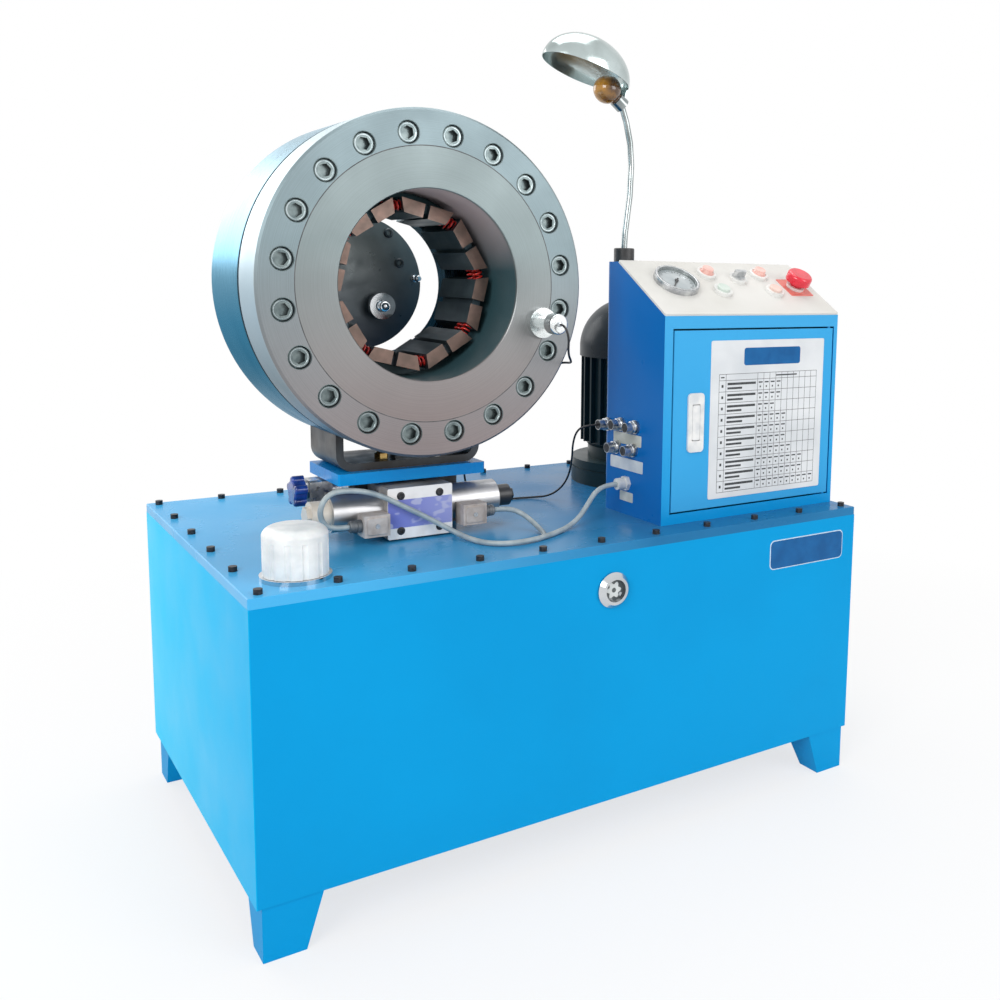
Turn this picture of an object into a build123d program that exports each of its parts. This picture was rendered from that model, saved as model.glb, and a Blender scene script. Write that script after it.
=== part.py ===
from build123d import *
import math
import os

# Hydraulic hose crimping machine: an oil tank on four legs carries the crimping head, the valve
# group, the pump motor, the control cabinet and a work lamp.
# X runs along the tank, Y to the back and Z up. The origin is on the floor, under the middle of
# the whole outline. All sizes are in millimetres.

# ---- driving dimensions -------------------------------------------------------------------------
# tank
tank_length = 910.0
tank_depth = 550.0
tank_top = 420.0            # upper face of the lid, above the floor
lid_thickness = 12.0
tank_wall = 4.0
tank_flange_width = 30.0
tank_flange_thickness = 8.0
leg_height = 66.0
leg_inset_x = 6.0
leg_inset_y = 2.0
leg_top = (70.0, 60.0)
leg_foot = (49.0, 39.0)
leg_wall = 5.0
lid_bolt_inset = 15.0
lid_bolts_long = 11
lid_bolts_short = 6
lid_bolt_r = 3.0
lid_bolt_head_r = 5.0
lid_bolt_head_height = 6.0
sight_stand_out = 8.0
sight_x_from_left = 464.0
sight_z = 358.0
sight_ring_r = 24.0
sight_neck_r = 17.0

# breather filler
breather_from_corner = (69.0, 58.0)
breather_flange_r = 40.0
breather_flange_thickness = 5.0
breather_cap_r = 36.5
breather_cap_height = 56.0
breather_neck_r = 25.0
strainer_length = 110.0

# crimping head
head_from_left = 261.0
head_from_front = 110.0
head_above_plate = 24.0
head_r = 215.0
flange_thickness = 70.0
head_length = 200.0
barrel_bore_r = 165.0
rear_wall = 25.0
rear_bore_r = 98.0
mouth_r = 119.0
seam_r = 170.0
gland_shoulder_r = 175.0
gland_lip = 22.0
nose_r = 140.0
nose_end = 104.0
flange_screws_count = 20
flange_screw_circle_r = 186.0
screw_r = 8.0
screw_head_r = 12.0
screw_head_height = 16.0
screw_hex = 14.0
screw_length = 100.0
counterbore_r = 13.5
counterbore_depth = 19.0
edge_chamfer = 3.0

# jaws
jaw_count = 8
jaw_clocking = 31.5          # angle of the first jaw, from +X towards +Z
jaw_front = 67.0             # depth of the jaws' front faces behind the head's front face
jaw_length = 106.0
jaw_open = 88.0              # from the axis to a jaw's inner face, jaws open
jaw_travel = 16.0
jaw_tile_height = 18.0
ramp_start = 108.0
ramp_slope = 0.5             # radial rise of the ramp for each millimetre of depth
jaw_side_gap = 0.4           # between neighbours when closed
ramp_gap = 0.3
jaw_slot_width = 7.0
spring_r = 7.0
spring_pocket_depth = 15.0
spring_from_axis = 102.0
spring_depths = (80.0, 98.0)
piston_front = 72.0
piston_length = 69.0
running_gap = 0.05

# rear stop
stop_plate_r = 95.0
stop_plate_thickness = 10.0
stop_plate_depth = 258.0
stop_arm_width = 76.0
stop_arm_reach = 135.0
stop_bar_r = 8.0
stop_bar_offset = (118.0, 24.0)
stop_spindle_at = (28.0, -33.0)
stop_spindle_r = 8.0
stop_disc_r = 19.0
sensor_at = (154.0, -47.0)  # from the head's axis, on the front flange

# head stand
plate_from_left = 159.0
plate_from_front = 170.0
plate_size = (204.0, 116.0, 15.0)
plate_bottom = tank_top + 76.0
bracket_inset = (2.0, 14.0)
bracket_depth = 100.0
bracket_wall = 10.0
bracket_corner_r = 22.0
block_from_left = 196.0
block_length = 150.0
block_depth = 64.0

# directional valve
valve_from_left = 216.0
valve_from_front = 152.0
valve_size = (90.0, 70.0, 67.0)
valve_z = tank_top + 3.0
coil_r = 24.0
coil_z = valve_z + 35.0
coil_length = (66.0, 77.0)
coil_cap_r = (18.5, 15.0)
coil_cap_length = (30.0, 29.0)
spool_r = 6.0
spool_stroke = 3.0
plug_size = (34.0, 25.0, 28.0)
plug_z = valve_z + 24.0
plug_gland_r = 7.0
plug_gland_length = 15.0

# relief valve
relief_z = tank_top + 59.0
relief_y_from_front = 247.0
relief_block = 30.0
relief_left = 142.0
relief_nut_thickness = 3.0
handwheel_r = 21.0
handwheel_thickness = 16.0
handwheel_gap = 1.0
handwheel_stem_r = 5.0

# cabinet
cabinet_from_left = 574.0
cabinet_from_front = 47.0
cabinet_width = 330.0
cabinet_depth = 150.0
cabinet_height = 367.0
cabinet_wall = 2.0
cabinet_rear_radius = 12.0
slope_drop = 74.0
slope_run = 119.0
door_side_margin = 17.0
door_bottom_margin = 17.0
door_height = 256.0
door_gap = 2.5
door_depth = 14.0
door_wall = 2.0
door_pin_r = 3.0
door_pin_inset = 5.0
panel_thickness = 3.0
button_r = 11.0
button_travel = 4.0
bezel_r = 14.5
bezel_height = 5.0
estop_r = 20.0
gauge_r = 34.0

# motor
motor_from_left = 760.0
motor_from_front = 360.0
motor_flange_r = 122.0
motor_r = 107.0
bell_height = 26.0
motor_body_bottom = tank_top + 60.0
motor_body_top = motor_body_bottom + 160.0
cowl_top = motor_body_top + 88.0
motor_bore_r = 60.0
cowl_hole_r = 40.0
shaft_r = 14.0
fin_count = 28
terminal_box = (50.0, 100.0, 90.0)

# lamp
lamp_from_left = 597.0
lamp_from_front = 184.0
lamp_base_r = 15.0
lamp_base_height = 20.0
gooseneck_r = 4.5
# bends of the lamp's tube: distance along X from its base, and above the cabinet
lamp_tube_bends = ((0.0, 24.0), (1.0, 42.0), (8.0, 95.0), (10.0, 140.0), (7.0, 172.0), (0.0, 200.0), (-9.0, 224.0))
holder_angle = 143.0        # of the lampholder, from +X towards +Z
holder_r = 11.0
holder_length = 14.0
shade_rim_middle = (-69.5, 262.0)
shade_tilt = 15.9
shade_half = (69.0, 46.0, 50.0)
shade_wall = 1.0
bulb_r = 20.0

# leads
cable_r = 3.5
sensor_lead_r = 1.5

# ---- places worked out from them ----------------------------------------------------------------
tank_left = -tank_length / 2
tank_front = -(tank_depth - sight_stand_out) / 2
lid_bottom = tank_top - lid_thickness
head_x = tank_left + head_from_left
head_front = tank_front + head_from_front
head_z = plate_bottom + plate_size[2] + head_above_plate + head_r
head_axis = Axis((head_x, head_front, head_z), (0, 1, 0))
# local x is the depth behind the head's front face, local y is the radius
head_section = Plane(origin=(head_x, head_front, head_z), x_dir=(0, 1, 0), z_dir=(1, 0, 0))
valve_left = tank_left + valve_from_left
valve_front = tank_front + valve_from_front
valve_right = valve_left + valve_size[0]
valve_back = valve_front + valve_size[1]
coil_y = valve_front + valve_size[1] / 2
cabinet_left = tank_left + cabinet_from_left
cabinet_right = cabinet_left + cabinet_width
cabinet_front = tank_front + cabinet_from_front
cabinet_back = cabinet_front + cabinet_depth
cabinet_top = tank_top + cabinet_height
slope_angle = math.degrees(math.atan2(slope_drop, slope_run))
slope_length = math.hypot(slope_drop, slope_run)
motor_x = tank_left + motor_from_left
motor_y = tank_front + motor_from_front
lamp_x = tank_left + lamp_from_left
lamp_y = tank_front + lamp_from_front
plate_left = tank_left + plate_from_left
plate_front = tank_front + plate_from_front
plate_top = plate_bottom + plate_size[2]
os.makedirs("parts", exist_ok=True)


def keep(name, made):
    """Labels a finished piece and writes it to its own STEP file."""
    made.part.label = name
    export_step(made.part, f"parts/{name}.step")


def head_plane(depth):
    """A plane across the head at a depth behind its front face, facing the front."""
    return Plane(origin=(head_x, head_front + depth, head_z), x_dir=(1, 0, 0), z_dir=(0, -1, 0))


def upright(x, y, z):
    """A level plane at a point."""
    return Plane(origin=(x, y, z))


# ---- tank ---------------------------------------------------------------------------------------
def make_tank():
    """Welded sheet tank with an inner top flange and four tapered, open-bottomed legs."""
    body_height = lid_bottom - leg_height
    middle_y = tank_front + tank_depth / 2
    sight_plane = Plane(origin=(tank_left + sight_x_from_left, tank_front, sight_z),
                        x_dir=(1, 0, 0), z_dir=(0, -1, 0))
    with BuildPart() as tank_body:
        with BuildSketch(upright(0, middle_y, leg_height)):
            Rectangle(tank_length, tank_depth)
        extrude(amount=body_height)
        with BuildSketch(upright(0, middle_y, leg_height + tank_wall)):
            Rectangle(tank_length - 2 * tank_wall, tank_depth - 2 * tank_wall)
        extrude(amount=body_height - tank_wall - tank_flange_thickness, mode=Mode.SUBTRACT)
        with BuildSketch(upright(0, middle_y, lid_bottom)):
            Rectangle(tank_length - 2 * tank_flange_width, tank_depth - 2 * tank_flange_width)
        extrude(amount=-2 * tank_flange_thickness, mode=Mode.SUBTRACT)
        with Locations(*lid_bolt_places(lid_bottom)):
            Hole(lid_bolt_r + 0.3, depth=tank_flange_thickness)
        with Locations(sight_plane):
            Hole(sight_neck_r + 0.3, depth=tank_wall)
        # each leg is a loft between two rectangles that share the outer corner
        for side, end in ((-1, -1), (-1, 1), (1, -1), (1, 1)):
            corner_x = side * (tank_length / 2 - leg_inset_x)
            corner_y = middle_y + end * (tank_depth / 2 - leg_inset_y)
            for shrink, low, high, mode in ((0, 0, leg_height, Mode.ADD),
                                            (leg_wall, -1, leg_height - leg_wall, Mode.SUBTRACT)):
                with BuildSketch(upright(corner_x - side * leg_foot[0] / 2,
                                         corner_y - end * leg_foot[1] / 2, low)):
                    Rectangle(leg_foot[0] - 2 * shrink, leg_foot[1] - 2 * shrink)
                with BuildSketch(upright(corner_x - side * leg_top[0] / 2,
                                         corner_y - end * leg_top[1] / 2, high)):
                    Rectangle(leg_top[0] - 2 * shrink, leg_top[1] - 2 * shrink)
                loft(mode=mode)
    keep("tank_body", tank_body)


def lid_bolt_places(z):
    """The lid's bolts, evenly pitched along each side, but for any that the cabinet covers."""
    half_x = tank_length / 2 - lid_bolt_inset
    half_y = tank_depth / 2 - lid_bolt_inset
    middle_y = tank_front + tank_depth / 2
    places = []
    for i in range(lid_bolts_long):
        x = -half_x + 2 * half_x * i / (lid_bolts_long - 1)
        places += [(x, middle_y - half_y, z), (x, middle_y + half_y, z)]
    for i in range(1, lid_bolts_short - 1):
        y = middle_y - half_y + 2 * half_y * i / (lid_bolts_short - 1)
        places += [(-half_x, y, z), (half_x, y, z)]
    return [(x, y, z) for x, y, z in places if not (cabinet_left < x < cabinet_right
                                                    and cabinet_front < y < cabinet_back)]


def make_lid():
    """Flat steel lid with holes for its bolts, the filler neck and the pump."""
    breather = (tank_left + breather_from_corner[0], tank_front + breather_from_corner[1])
    with BuildPart() as tank_lid:
        with BuildSketch(upright(0, tank_front + tank_depth / 2, lid_bottom)):
            RectangleRounded(tank_length, tank_depth, 2)
        extrude(amount=lid_thickness)
        chamfer(tank_lid.faces().sort_by(Axis.Z)[-1].edges(), 1)
        with Locations(*lid_bolt_places(tank_top)):
            Hole(lid_bolt_r + 0.3, depth=lid_thickness)
        with Locations((*breather, tank_top)):
            Hole(breather_neck_r + 1, depth=lid_thickness)
        with Locations((motor_x, motor_y, tank_top)):
            Hole(50, depth=lid_thickness)
    keep("tank_lid", tank_lid)
    with BuildPart() as lid_bolts:
        with Locations(*lid_bolt_places(tank_top)):
            Cylinder(lid_bolt_head_r, lid_bolt_head_height, align=(Align.CENTER, Align.CENTER, Align.MIN))
        with Locations(*lid_bolt_places(tank_top)):
            Cylinder(lid_bolt_r, lid_thickness + tank_flange_thickness,
                     align=(Align.CENTER, Align.CENTER, Align.MAX))
    keep("lid_bolts", lid_bolts)


def make_sight_glass():
    """Round oil sight glass: a chromed threaded ring and a domed lens in it."""
    axis = Axis((tank_left + sight_x_from_left, tank_front, sight_z), (0, 1, 0))
    # local x is the distance out of the tank, local y is the radius
    section = Plane(origin=(tank_left + sight_x_from_left, tank_front, sight_z),
                    x_dir=(0, -1, 0), z_dir=(-1, 0, 0))
    bore_r = sight_neck_r - 2
    with BuildPart() as sight_ring:
        with BuildSketch(section):
            with BuildLine():
                Polyline((-14, bore_r - 2), (-14, sight_neck_r), (0, sight_neck_r), (0, sight_ring_r),
                         (3, sight_ring_r), (sight_stand_out, sight_neck_r + 2),
                         (sight_stand_out, bore_r), (-9, bore_r), (-9, bore_r - 2), close=True)
            make_face()
        revolve(axis=axis)
    keep("sight_glass_ring", sight_ring)
    with BuildPart() as sight_lens:
        with BuildSketch(section):
            with BuildLine():
                Polyline((-9, 0), (-9, bore_r - 0.1), (1, bore_r - 0.1), (2, bore_r - 5), (2.5, 0), close=True)
            make_face()
        revolve(axis=axis)
    keep("sight_glass_lens", sight_lens)


def make_breather():
    """Filler neck with its strainer, and the fluted cap that lifts off it."""
    x = tank_left + breather_from_corner[0]
    y = tank_front + breather_from_corner[1]
    axis = Axis((x, y, 0), (0, 0, 1))
    section = Plane(origin=(x, y, tank_top), x_dir=(1, 0, 0), z_dir=(0, -1, 0))
    collar_top = breather_flange_thickness + 20
    bottom = -lid_thickness - strainer_length
    with BuildPart() as breather_base:
        with BuildSketch(section):
            with BuildLine():
                Polyline((breather_neck_r - 2, bottom), (breather_neck_r, bottom), (breather_neck_r, 0),
                         (breather_flange_r, 0), (breather_flange_r, breather_flange_thickness),
                         (breather_neck_r, breather_flange_thickness), (breather_neck_r, collar_top),
                         (breather_neck_r - 2, collar_top), close=True)
            make_face()
        revolve(axis=axis)
        with Locations((x, y, tank_top + breather_flange_thickness)):
            with PolarLocations(32, 6):
                Hole(2, depth=breather_flange_thickness)
    keep("breather_base", breather_base)
    low = breather_flange_thickness + 0.3
    high = low + breather_cap_height
    with BuildPart() as breather_cap:
        with BuildSketch(section):
            with BuildLine():
                wall = Polyline((0, high - 6), (breather_neck_r + 0.4, high - 6), (breather_neck_r + 0.4, low + 2),
                                (breather_cap_r - 2, low + 2), (breather_cap_r - 2, low), (breather_cap_r, low),
                                (breather_cap_r, high - 10))
                ThreePointArc(wall @ 1, (breather_cap_r - 5, high - 3), (breather_cap_r - 14, high - 0.8))
                Polyline((breather_cap_r - 14, high - 0.8), (0, high), (0, high - 6))
            make_face()
        revolve(axis=axis)
        with Locations((x, y, tank_top + low)):
            with PolarLocations(breather_cap_r + 3.5, 12):
                Cylinder(5, breather_cap_height - 16, align=(Align.CENTER, Align.CENTER, Align.MIN),
                         mode=Mode.SUBTRACT)
    keep("breather_cap", breather_cap)


# ---- crimping head ------------------------------------------------------------------------------
def ring(name, outline, *holes):
    """A turned ring about the head's axis, from its (depth, radius) outline."""
    with BuildPart() as turned:
        with BuildSketch(head_section):
            with BuildLine():
                Polyline(*outline, close=True)
            make_face()
        revolve(axis=head_axis)
        for depth, circle_r, count, start, cut in holes:
            with Locations(head_plane(depth)):
                with PolarLocations(circle_r, count, start_angle=start):
                    cut()
    return turned


def make_head():
    """Flange, gland ring, barrel and the pressing ring that slides in the barrel."""
    half_pitch = 180 / flange_screws_count
    c = edge_chamfer
    flange_outline = [(c, head_r), (0, head_r - c), (0, seam_r), (gland_lip, seam_r),
                      (gland_lip, gland_shoulder_r), (flange_thickness, gland_shoulder_r),
                      (flange_thickness, head_r - c), (flange_thickness - c, head_r)]
    screw_cut = lambda: CounterBoreHole(screw_r + 0.5, counterbore_r, counterbore_depth,
                                        depth=flange_thickness)
    flange = ring("front_flange", flange_outline,
                  (0, flange_screw_circle_r, flange_screws_count, half_pitch, screw_cut))
    keep("front_flange", flange)

    g = running_gap
    gland_outline = [(1, mouth_r), (0, mouth_r + 1), (0, seam_r - 0.1), (gland_lip + g, seam_r - 0.1),
                     (gland_lip + g, gland_shoulder_r - 0.1), (flange_thickness, gland_shoulder_r - 0.1),
                     (flange_thickness, nose_r - g), (nose_end, nose_r - g), (nose_end, mouth_r)]
    keep("gland_ring", ring("gland_ring", gland_outline))

    inner_end = head_length - rear_wall
    thread_depth = counterbore_depth + screw_length - flange_thickness
    barrel_outline = [(flange_thickness, barrel_bore_r), (inner_end, barrel_bore_r),
                      (inner_end, rear_bore_r), (head_length, rear_bore_r), (head_length, head_r - c),
                      (head_length - c, head_r), (flange_thickness + c, head_r),
                      (flange_thickness, head_r - c)]
    thread_cut = lambda: Hole(screw_r + 0.1, depth=thread_depth + 2)
    barrel = ring("barrel", barrel_outline,
                  (flange_thickness, flange_screw_circle_r, flange_screws_count, half_pitch, thread_cut))
    keep("barrel", barrel)

    piston_end = piston_front + piston_length
    skirt_end = ramp_start
    with BuildPart() as piston:
        with BuildSketch(head_plane(piston_front)):
            Circle(barrel_bore_r - g)
            Circle(nose_r + g, mode=Mode.SUBTRACT)
        extrude(amount=-(skirt_end - piston_front))
        with BuildSketch(head_plane(skirt_end)):
            Circle(barrel_bore_r - g)
        extrude(amount=-(piston_end - skirt_end))
        for depth in (skirt_end, piston_end):
            apothem = jaw_back(depth) + ramp_gap / math.cos(math.atan(ramp_slope))
            with BuildSketch(head_plane(depth)):
                RegularPolygon(apothem, jaw_count, major_radius=False,
                               rotation=jaw_clocking - 180 / jaw_count)
        loft(mode=Mode.SUBTRACT)
    keep("piston_ring", piston)

    with BuildPart() as flange_screws:
        seat = counterbore_depth - screw_head_height
        with Locations(head_plane(seat)):
            with PolarLocations(flange_screw_circle_r, flange_screws_count, start_angle=half_pitch):
                Cylinder(screw_head_r, screw_head_height, align=(Align.CENTER, Align.CENTER, Align.MAX))
        with Locations(head_plane(seat + screw_head_height)):
            with PolarLocations(flange_screw_circle_r, flange_screws_count, start_angle=half_pitch):
                Cylinder(screw_r, screw_length, align=(Align.CENTER, Align.CENTER, Align.MAX))
        with BuildSketch(head_plane(seat)):
            with PolarLocations(flange_screw_circle_r, flange_screws_count, start_angle=half_pitch):
                RegularPolygon(screw_hex / 2, 6, major_radius=False)
        extrude(amount=-screw_head_height / 2, mode=Mode.SUBTRACT)
    keep("flange_screws", flange_screws)


def jaw_back(depth):
    """Distance from the axis to a jaw's back at a depth, jaws open."""
    return jaw_open + jaw_tile_height + max(0, depth - ramp_start) * ramp_slope


def make_jaws():
    """Eight master jaws. Each has a sloped back for the pressing ring, a tool slot in its face
    and, in its sides, the pockets of the springs that part it from its neighbours."""
    half_pitch = 180 / jaw_count
    closed = jaw_open - jaw_travel
    jaw_end = jaw_front + jaw_length
    reach = jaw_back(jaw_end) + 5
    for number in range(jaw_count):
        angle = jaw_clocking + number * 360 / jaw_count
        out = (math.cos(math.radians(angle)), 0, math.sin(math.radians(angle)))
        across = (-out[2], 0, out[0])
        section = Plane(origin=(head_x, head_front, head_z), x_dir=(0, 1, 0), z_dir=across)
        flip = 1 if section.y_dir.dot(Vector(*out)) > 0 else -1
        with BuildPart() as jaw:
            with BuildSketch(section):
                with BuildLine():
                    Polyline((jaw_front, flip * jaw_open), (jaw_front, flip * jaw_back(jaw_front)),
                             (ramp_start, flip * jaw_back(ramp_start)),
                             (jaw_end, flip * jaw_back(jaw_end)), (jaw_end, flip * jaw_open), close=True)
                make_face()
            extrude(amount=reach, both=True)
            wedge_plane = Plane(origin=(head_x, head_front + jaw_front, head_z),
                                x_dir=out, z_dir=(0, -1, 0))
            tip = jaw_travel + jaw_side_gap / 2 / math.sin(math.radians(half_pitch))
            half_width = (reach - tip) * math.tan(math.radians(half_pitch))
            with BuildSketch(wedge_plane):
                with BuildLine():
                    Polyline((tip, 0), (reach, half_width), (reach, -half_width), close=True)
                make_face()
            extrude(amount=-jaw_length, mode=Mode.INTERSECT)
            # tool slot between the two ground tiles, and the die seat groove behind it
            with BuildSketch(wedge_plane):
                with Locations((jaw_open + jaw_tile_height / 2, 0)):
                    Rectangle(jaw_tile_height + 2, jaw_slot_width)
            extrude(amount=-10, mode=Mode.SUBTRACT)
            with BuildSketch(wedge_plane):
                with Locations((jaw_open, 0)):
                    Rectangle(2 * 7, jaw_slot_width)
            extrude(amount=-jaw_length, mode=Mode.SUBTRACT)
            for side in (-1, 1):
                spring_pocket(angle, side, half_pitch)
        keep(f"jaw_{number + 1}", jaw)


def spring_pocket(angle, side, half_pitch):
    """Blind round pockets in one side face of a jaw, square to the gap beside it."""
    gap_angle = math.radians(angle + side * half_pitch)
    out = Vector(math.cos(gap_angle), 0, math.sin(gap_angle))
    across = Vector(-out.Z, 0, out.X) * side
    half_gap = jaw_travel * math.sin(math.radians(half_pitch)) + jaw_side_gap / 2
    for depth in spring_depths:
        place = Vector(head_x, head_front + depth, head_z) + out * spring_from_axis - across * half_gap
        with Locations(Plane(origin=place, x_dir=(0, 1, 0), z_dir=across)):
            Hole(spring_r + 0.4, depth=spring_pocket_depth)


def make_jaw_springs():
    """Two compression springs in each gap between jaws, seated in the jaws' pockets."""
    half_pitch = 180 / jaw_count
    half_gap = jaw_travel * math.sin(math.radians(half_pitch)) + jaw_side_gap / 2
    with BuildPart() as springs:
        for number in range(jaw_count):
            gap_angle = math.radians(jaw_clocking + (number + 0.5) * 360 / jaw_count)
            out = Vector(math.cos(gap_angle), 0, math.sin(gap_angle))
            across = Vector(-out.Z, 0, out.X)
            for depth in spring_depths:
                place = Vector(head_x, head_front + depth, head_z) + out * spring_from_axis
                with Locations(Plane(origin=place, x_dir=(0, 1, 0), z_dir=across)):
                    Cylinder(spring_r, 2 * (half_gap + spring_pocket_depth))
    keep("jaw_springs", springs)


def make_rear_stop():
    """Fixed carrier plate behind the head, on two bars, with the stop spindle in it."""
    with BuildPart() as carrier:
        with BuildSketch(head_plane(stop_plate_depth)):
            Circle(stop_plate_r)
            with Locations((-stop_arm_reach / 2, 0)):
                Rectangle(stop_arm_reach, stop_arm_width)
            with Locations(stop_spindle_at):
                Circle(stop_spindle_r + 0.05, mode=Mode.SUBTRACT)
        extrude(amount=-stop_plate_thickness)
        with BuildSketch(head_plane(head_length)):
            with Locations((-stop_bar_offset[0], stop_bar_offset[1]), (-stop_bar_offset[0], -stop_bar_offset[1])):
                Circle(stop_bar_r)
        extrude(amount=-(stop_plate_depth - head_length))
    keep("stop_carrier", carrier)
    nose = 22
    with BuildPart() as spindle:
        with BuildSketch(head_plane(stop_plate_depth - nose)):
            with Locations(stop_spindle_at):
                Circle(stop_spindle_r)
        extrude(amount=-(nose + stop_plate_thickness + 90))
        with BuildSketch(head_plane(stop_plate_depth - nose)):
            with Locations(stop_spindle_at):
                Circle(stop_disc_r)
        extrude(amount=-8)
        with BuildSketch(head_plane(stop_plate_depth + stop_plate_thickness + 74)):
            with Locations(stop_spindle_at):
                Circle(16)
        extrude(amount=-16)
    keep("stop_spindle", spindle)


def make_sensor():
    """Chromed position sensor screwed into the front flange."""
    with BuildPart() as sensor:
        for lift, radius, height in ((0, 20, 8), (8, 8, 24), (32, 13.5, 18)):
            with BuildSketch(Plane(origin=(head_x + sensor_at[0], head_front - lift, head_z + sensor_at[1]),
                                   x_dir=(1, 0, 0), z_dir=(0, -1, 0))):
                Circle(radius)
            extrude(amount=height)
        fillet(sensor.faces().sort_by(Axis.Y)[0].edges(), 4)
    keep("sensor_probe", sensor)


# ---- stand of the head --------------------------------------------------------------------------
def make_stand():
    """Painted plate on the manifold block, and the channel-shaped saddle that holds the barrel."""
    with BuildPart() as plate:
        with Locations((plate_left + plate_size[0] / 2, plate_front + plate_size[1] / 2, plate_bottom)):
            Box(*plate_size, align=(Align.CENTER, Align.CENTER, Align.MIN))
        chamfer(plate.edges().filter_by(Axis.Z), 2)
    keep("mounting_plate", plate)

    width = plate_size[0] - 2 * bracket_inset[0]
    front = plate_front + bracket_inset[1]
    contact = head_z - math.sqrt(head_r ** 2 - width ** 2 / 4)
    with BuildPart() as saddle:
        with BuildSketch(Plane(origin=(head_x, front, plate_top), x_dir=(1, 0, 0), z_dir=(0, -1, 0))):
            with Locations((0, head_z - plate_top)):
                RectangleRounded(width, 2 * (head_z - plate_top), bracket_corner_r)
            with Locations((0, head_z - plate_top)):
                RectangleRounded(width - 2 * bracket_wall, 2 * (head_z - plate_top - bracket_wall),
                                 bracket_corner_r - bracket_wall, mode=Mode.SUBTRACT)
            with Locations((0, contact - plate_top + 20)):
                Rectangle(2 * width, 2 * head_z, align=(Align.CENTER, Align.MIN), mode=Mode.SUBTRACT)
        extrude(amount=-bracket_depth)
        with BuildSketch(head_plane(0)):
            Circle(head_r)
        extrude(amount=-head_length * 2, mode=Mode.SUBTRACT)
    keep("head_saddle", saddle)

    block_left = tank_left + block_from_left
    with BuildPart() as block:
        with Locations((block_left + block_length / 2, valve_back + block_depth / 2, tank_top)):
            Box(block_length, block_depth, plate_bottom - tank_top,
                align=(Align.CENTER, Align.CENTER, Align.MIN))
        chamfer(block.edges().filter_by(Axis.Z), 2)
        back = Plane(origin=(block_left + block_length / 2, valve_back + block_depth, tank_top + 40),
                     x_dir=(-1, 0, 0), z_dir=(0, 1, 0))
        with Locations(back):
            with GridLocations(45, 1, 3, 1):
                Hole(10, depth=18)
    keep("manifold_block", block)


# ---- valve group --------------------------------------------------------------------------------
def along_x(x, y, z):
    """A plane across the X axis at a point, facing +X, with local x along +Y."""
    return Plane(origin=(x, y, z), x_dir=(0, 1, 0), z_dir=(1, 0, 0))


def make_valve():
    """Solenoid valve on the face of the manifold block: body, spool, coils, end caps, plugs."""
    with BuildPart() as body:
        with Locations((valve_left + valve_size[0] / 2, valve_front + valve_size[1] / 2, valve_z)):
            Box(*valve_size, align=(Align.CENTER, Align.CENTER, Align.MIN))
        chamfer(body.edges().filter_by(Axis.Y), 1.5)
        with Locations(Plane(origin=(valve_left + valve_size[0] / 2, valve_front, valve_z + valve_size[2] / 2),
                             x_dir=(1, 0, 0), z_dir=(0, -1, 0))):
            with GridLocations(54, 46, 2, 2):
                CounterBoreHole(3.3, 5.5, 8, depth=valve_size[1])
        with Locations(along_x(valve_right, coil_y, coil_z)):
            Hole(spool_r + running_gap, depth=valve_size[0])
    keep("valve_body", body)
    with BuildPart() as spool:
        with BuildSketch(along_x(valve_left + spool_stroke + 1, coil_y, coil_z)):
            Circle(spool_r)
        extrude(amount=valve_size[0] - 2 * (spool_stroke + 1))
        for share in (0.3, 0.7):
            with BuildSketch(along_x(valve_left + share * valve_size[0] - 5, coil_y, coil_z)):
                Circle(spool_r + 1)
                Circle(spool_r - 2, mode=Mode.SUBTRACT)
            extrude(amount=10, mode=Mode.SUBTRACT)
    keep("valve_spool", spool)

    sides = ((-1, valve_left, 0), (1, valve_right, 1))
    with BuildPart() as coils:
        for side, x, i in sides:
            with BuildSketch(along_x(x, coil_y, coil_z)):
                Circle(coil_r)
            extrude(amount=side * coil_length[i])
            start = x + side * coil_length[i]
            with BuildSketch(along_x(start, coil_y, coil_z)):
                Circle(coil_cap_r[i])
            extrude(amount=side * (coil_cap_length[i] - 6))
            with BuildSketch(along_x(start + side * (coil_cap_length[i] - 6), coil_y, coil_z)):
                RegularPolygon(coil_cap_r[i] - 5, 6)
            extrude(amount=side * 6)
    keep("solenoid_coils", coils)

    with BuildPart() as plugs:
        for x, gland_side in plug_places():
            back = coil_y - coil_r
            with Locations((x, back - plug_size[1] / 2, plug_z)):
                Box(*plug_size)
            with BuildSketch(along_x(x + gland_side * plug_size[0] / 2, back - plug_size[1] / 2, plug_z)):
                Circle(plug_gland_r)
            extrude(amount=gland_side * plug_gland_length)
    keep("solenoid_plugs", plugs)


def plug_places():
    """The middle of each plug along X, and the side its cable gland is on."""
    return ((valve_left - 2 - plug_size[0] / 2, -1), (valve_right + 10 + plug_size[0] / 2, 1))


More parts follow.
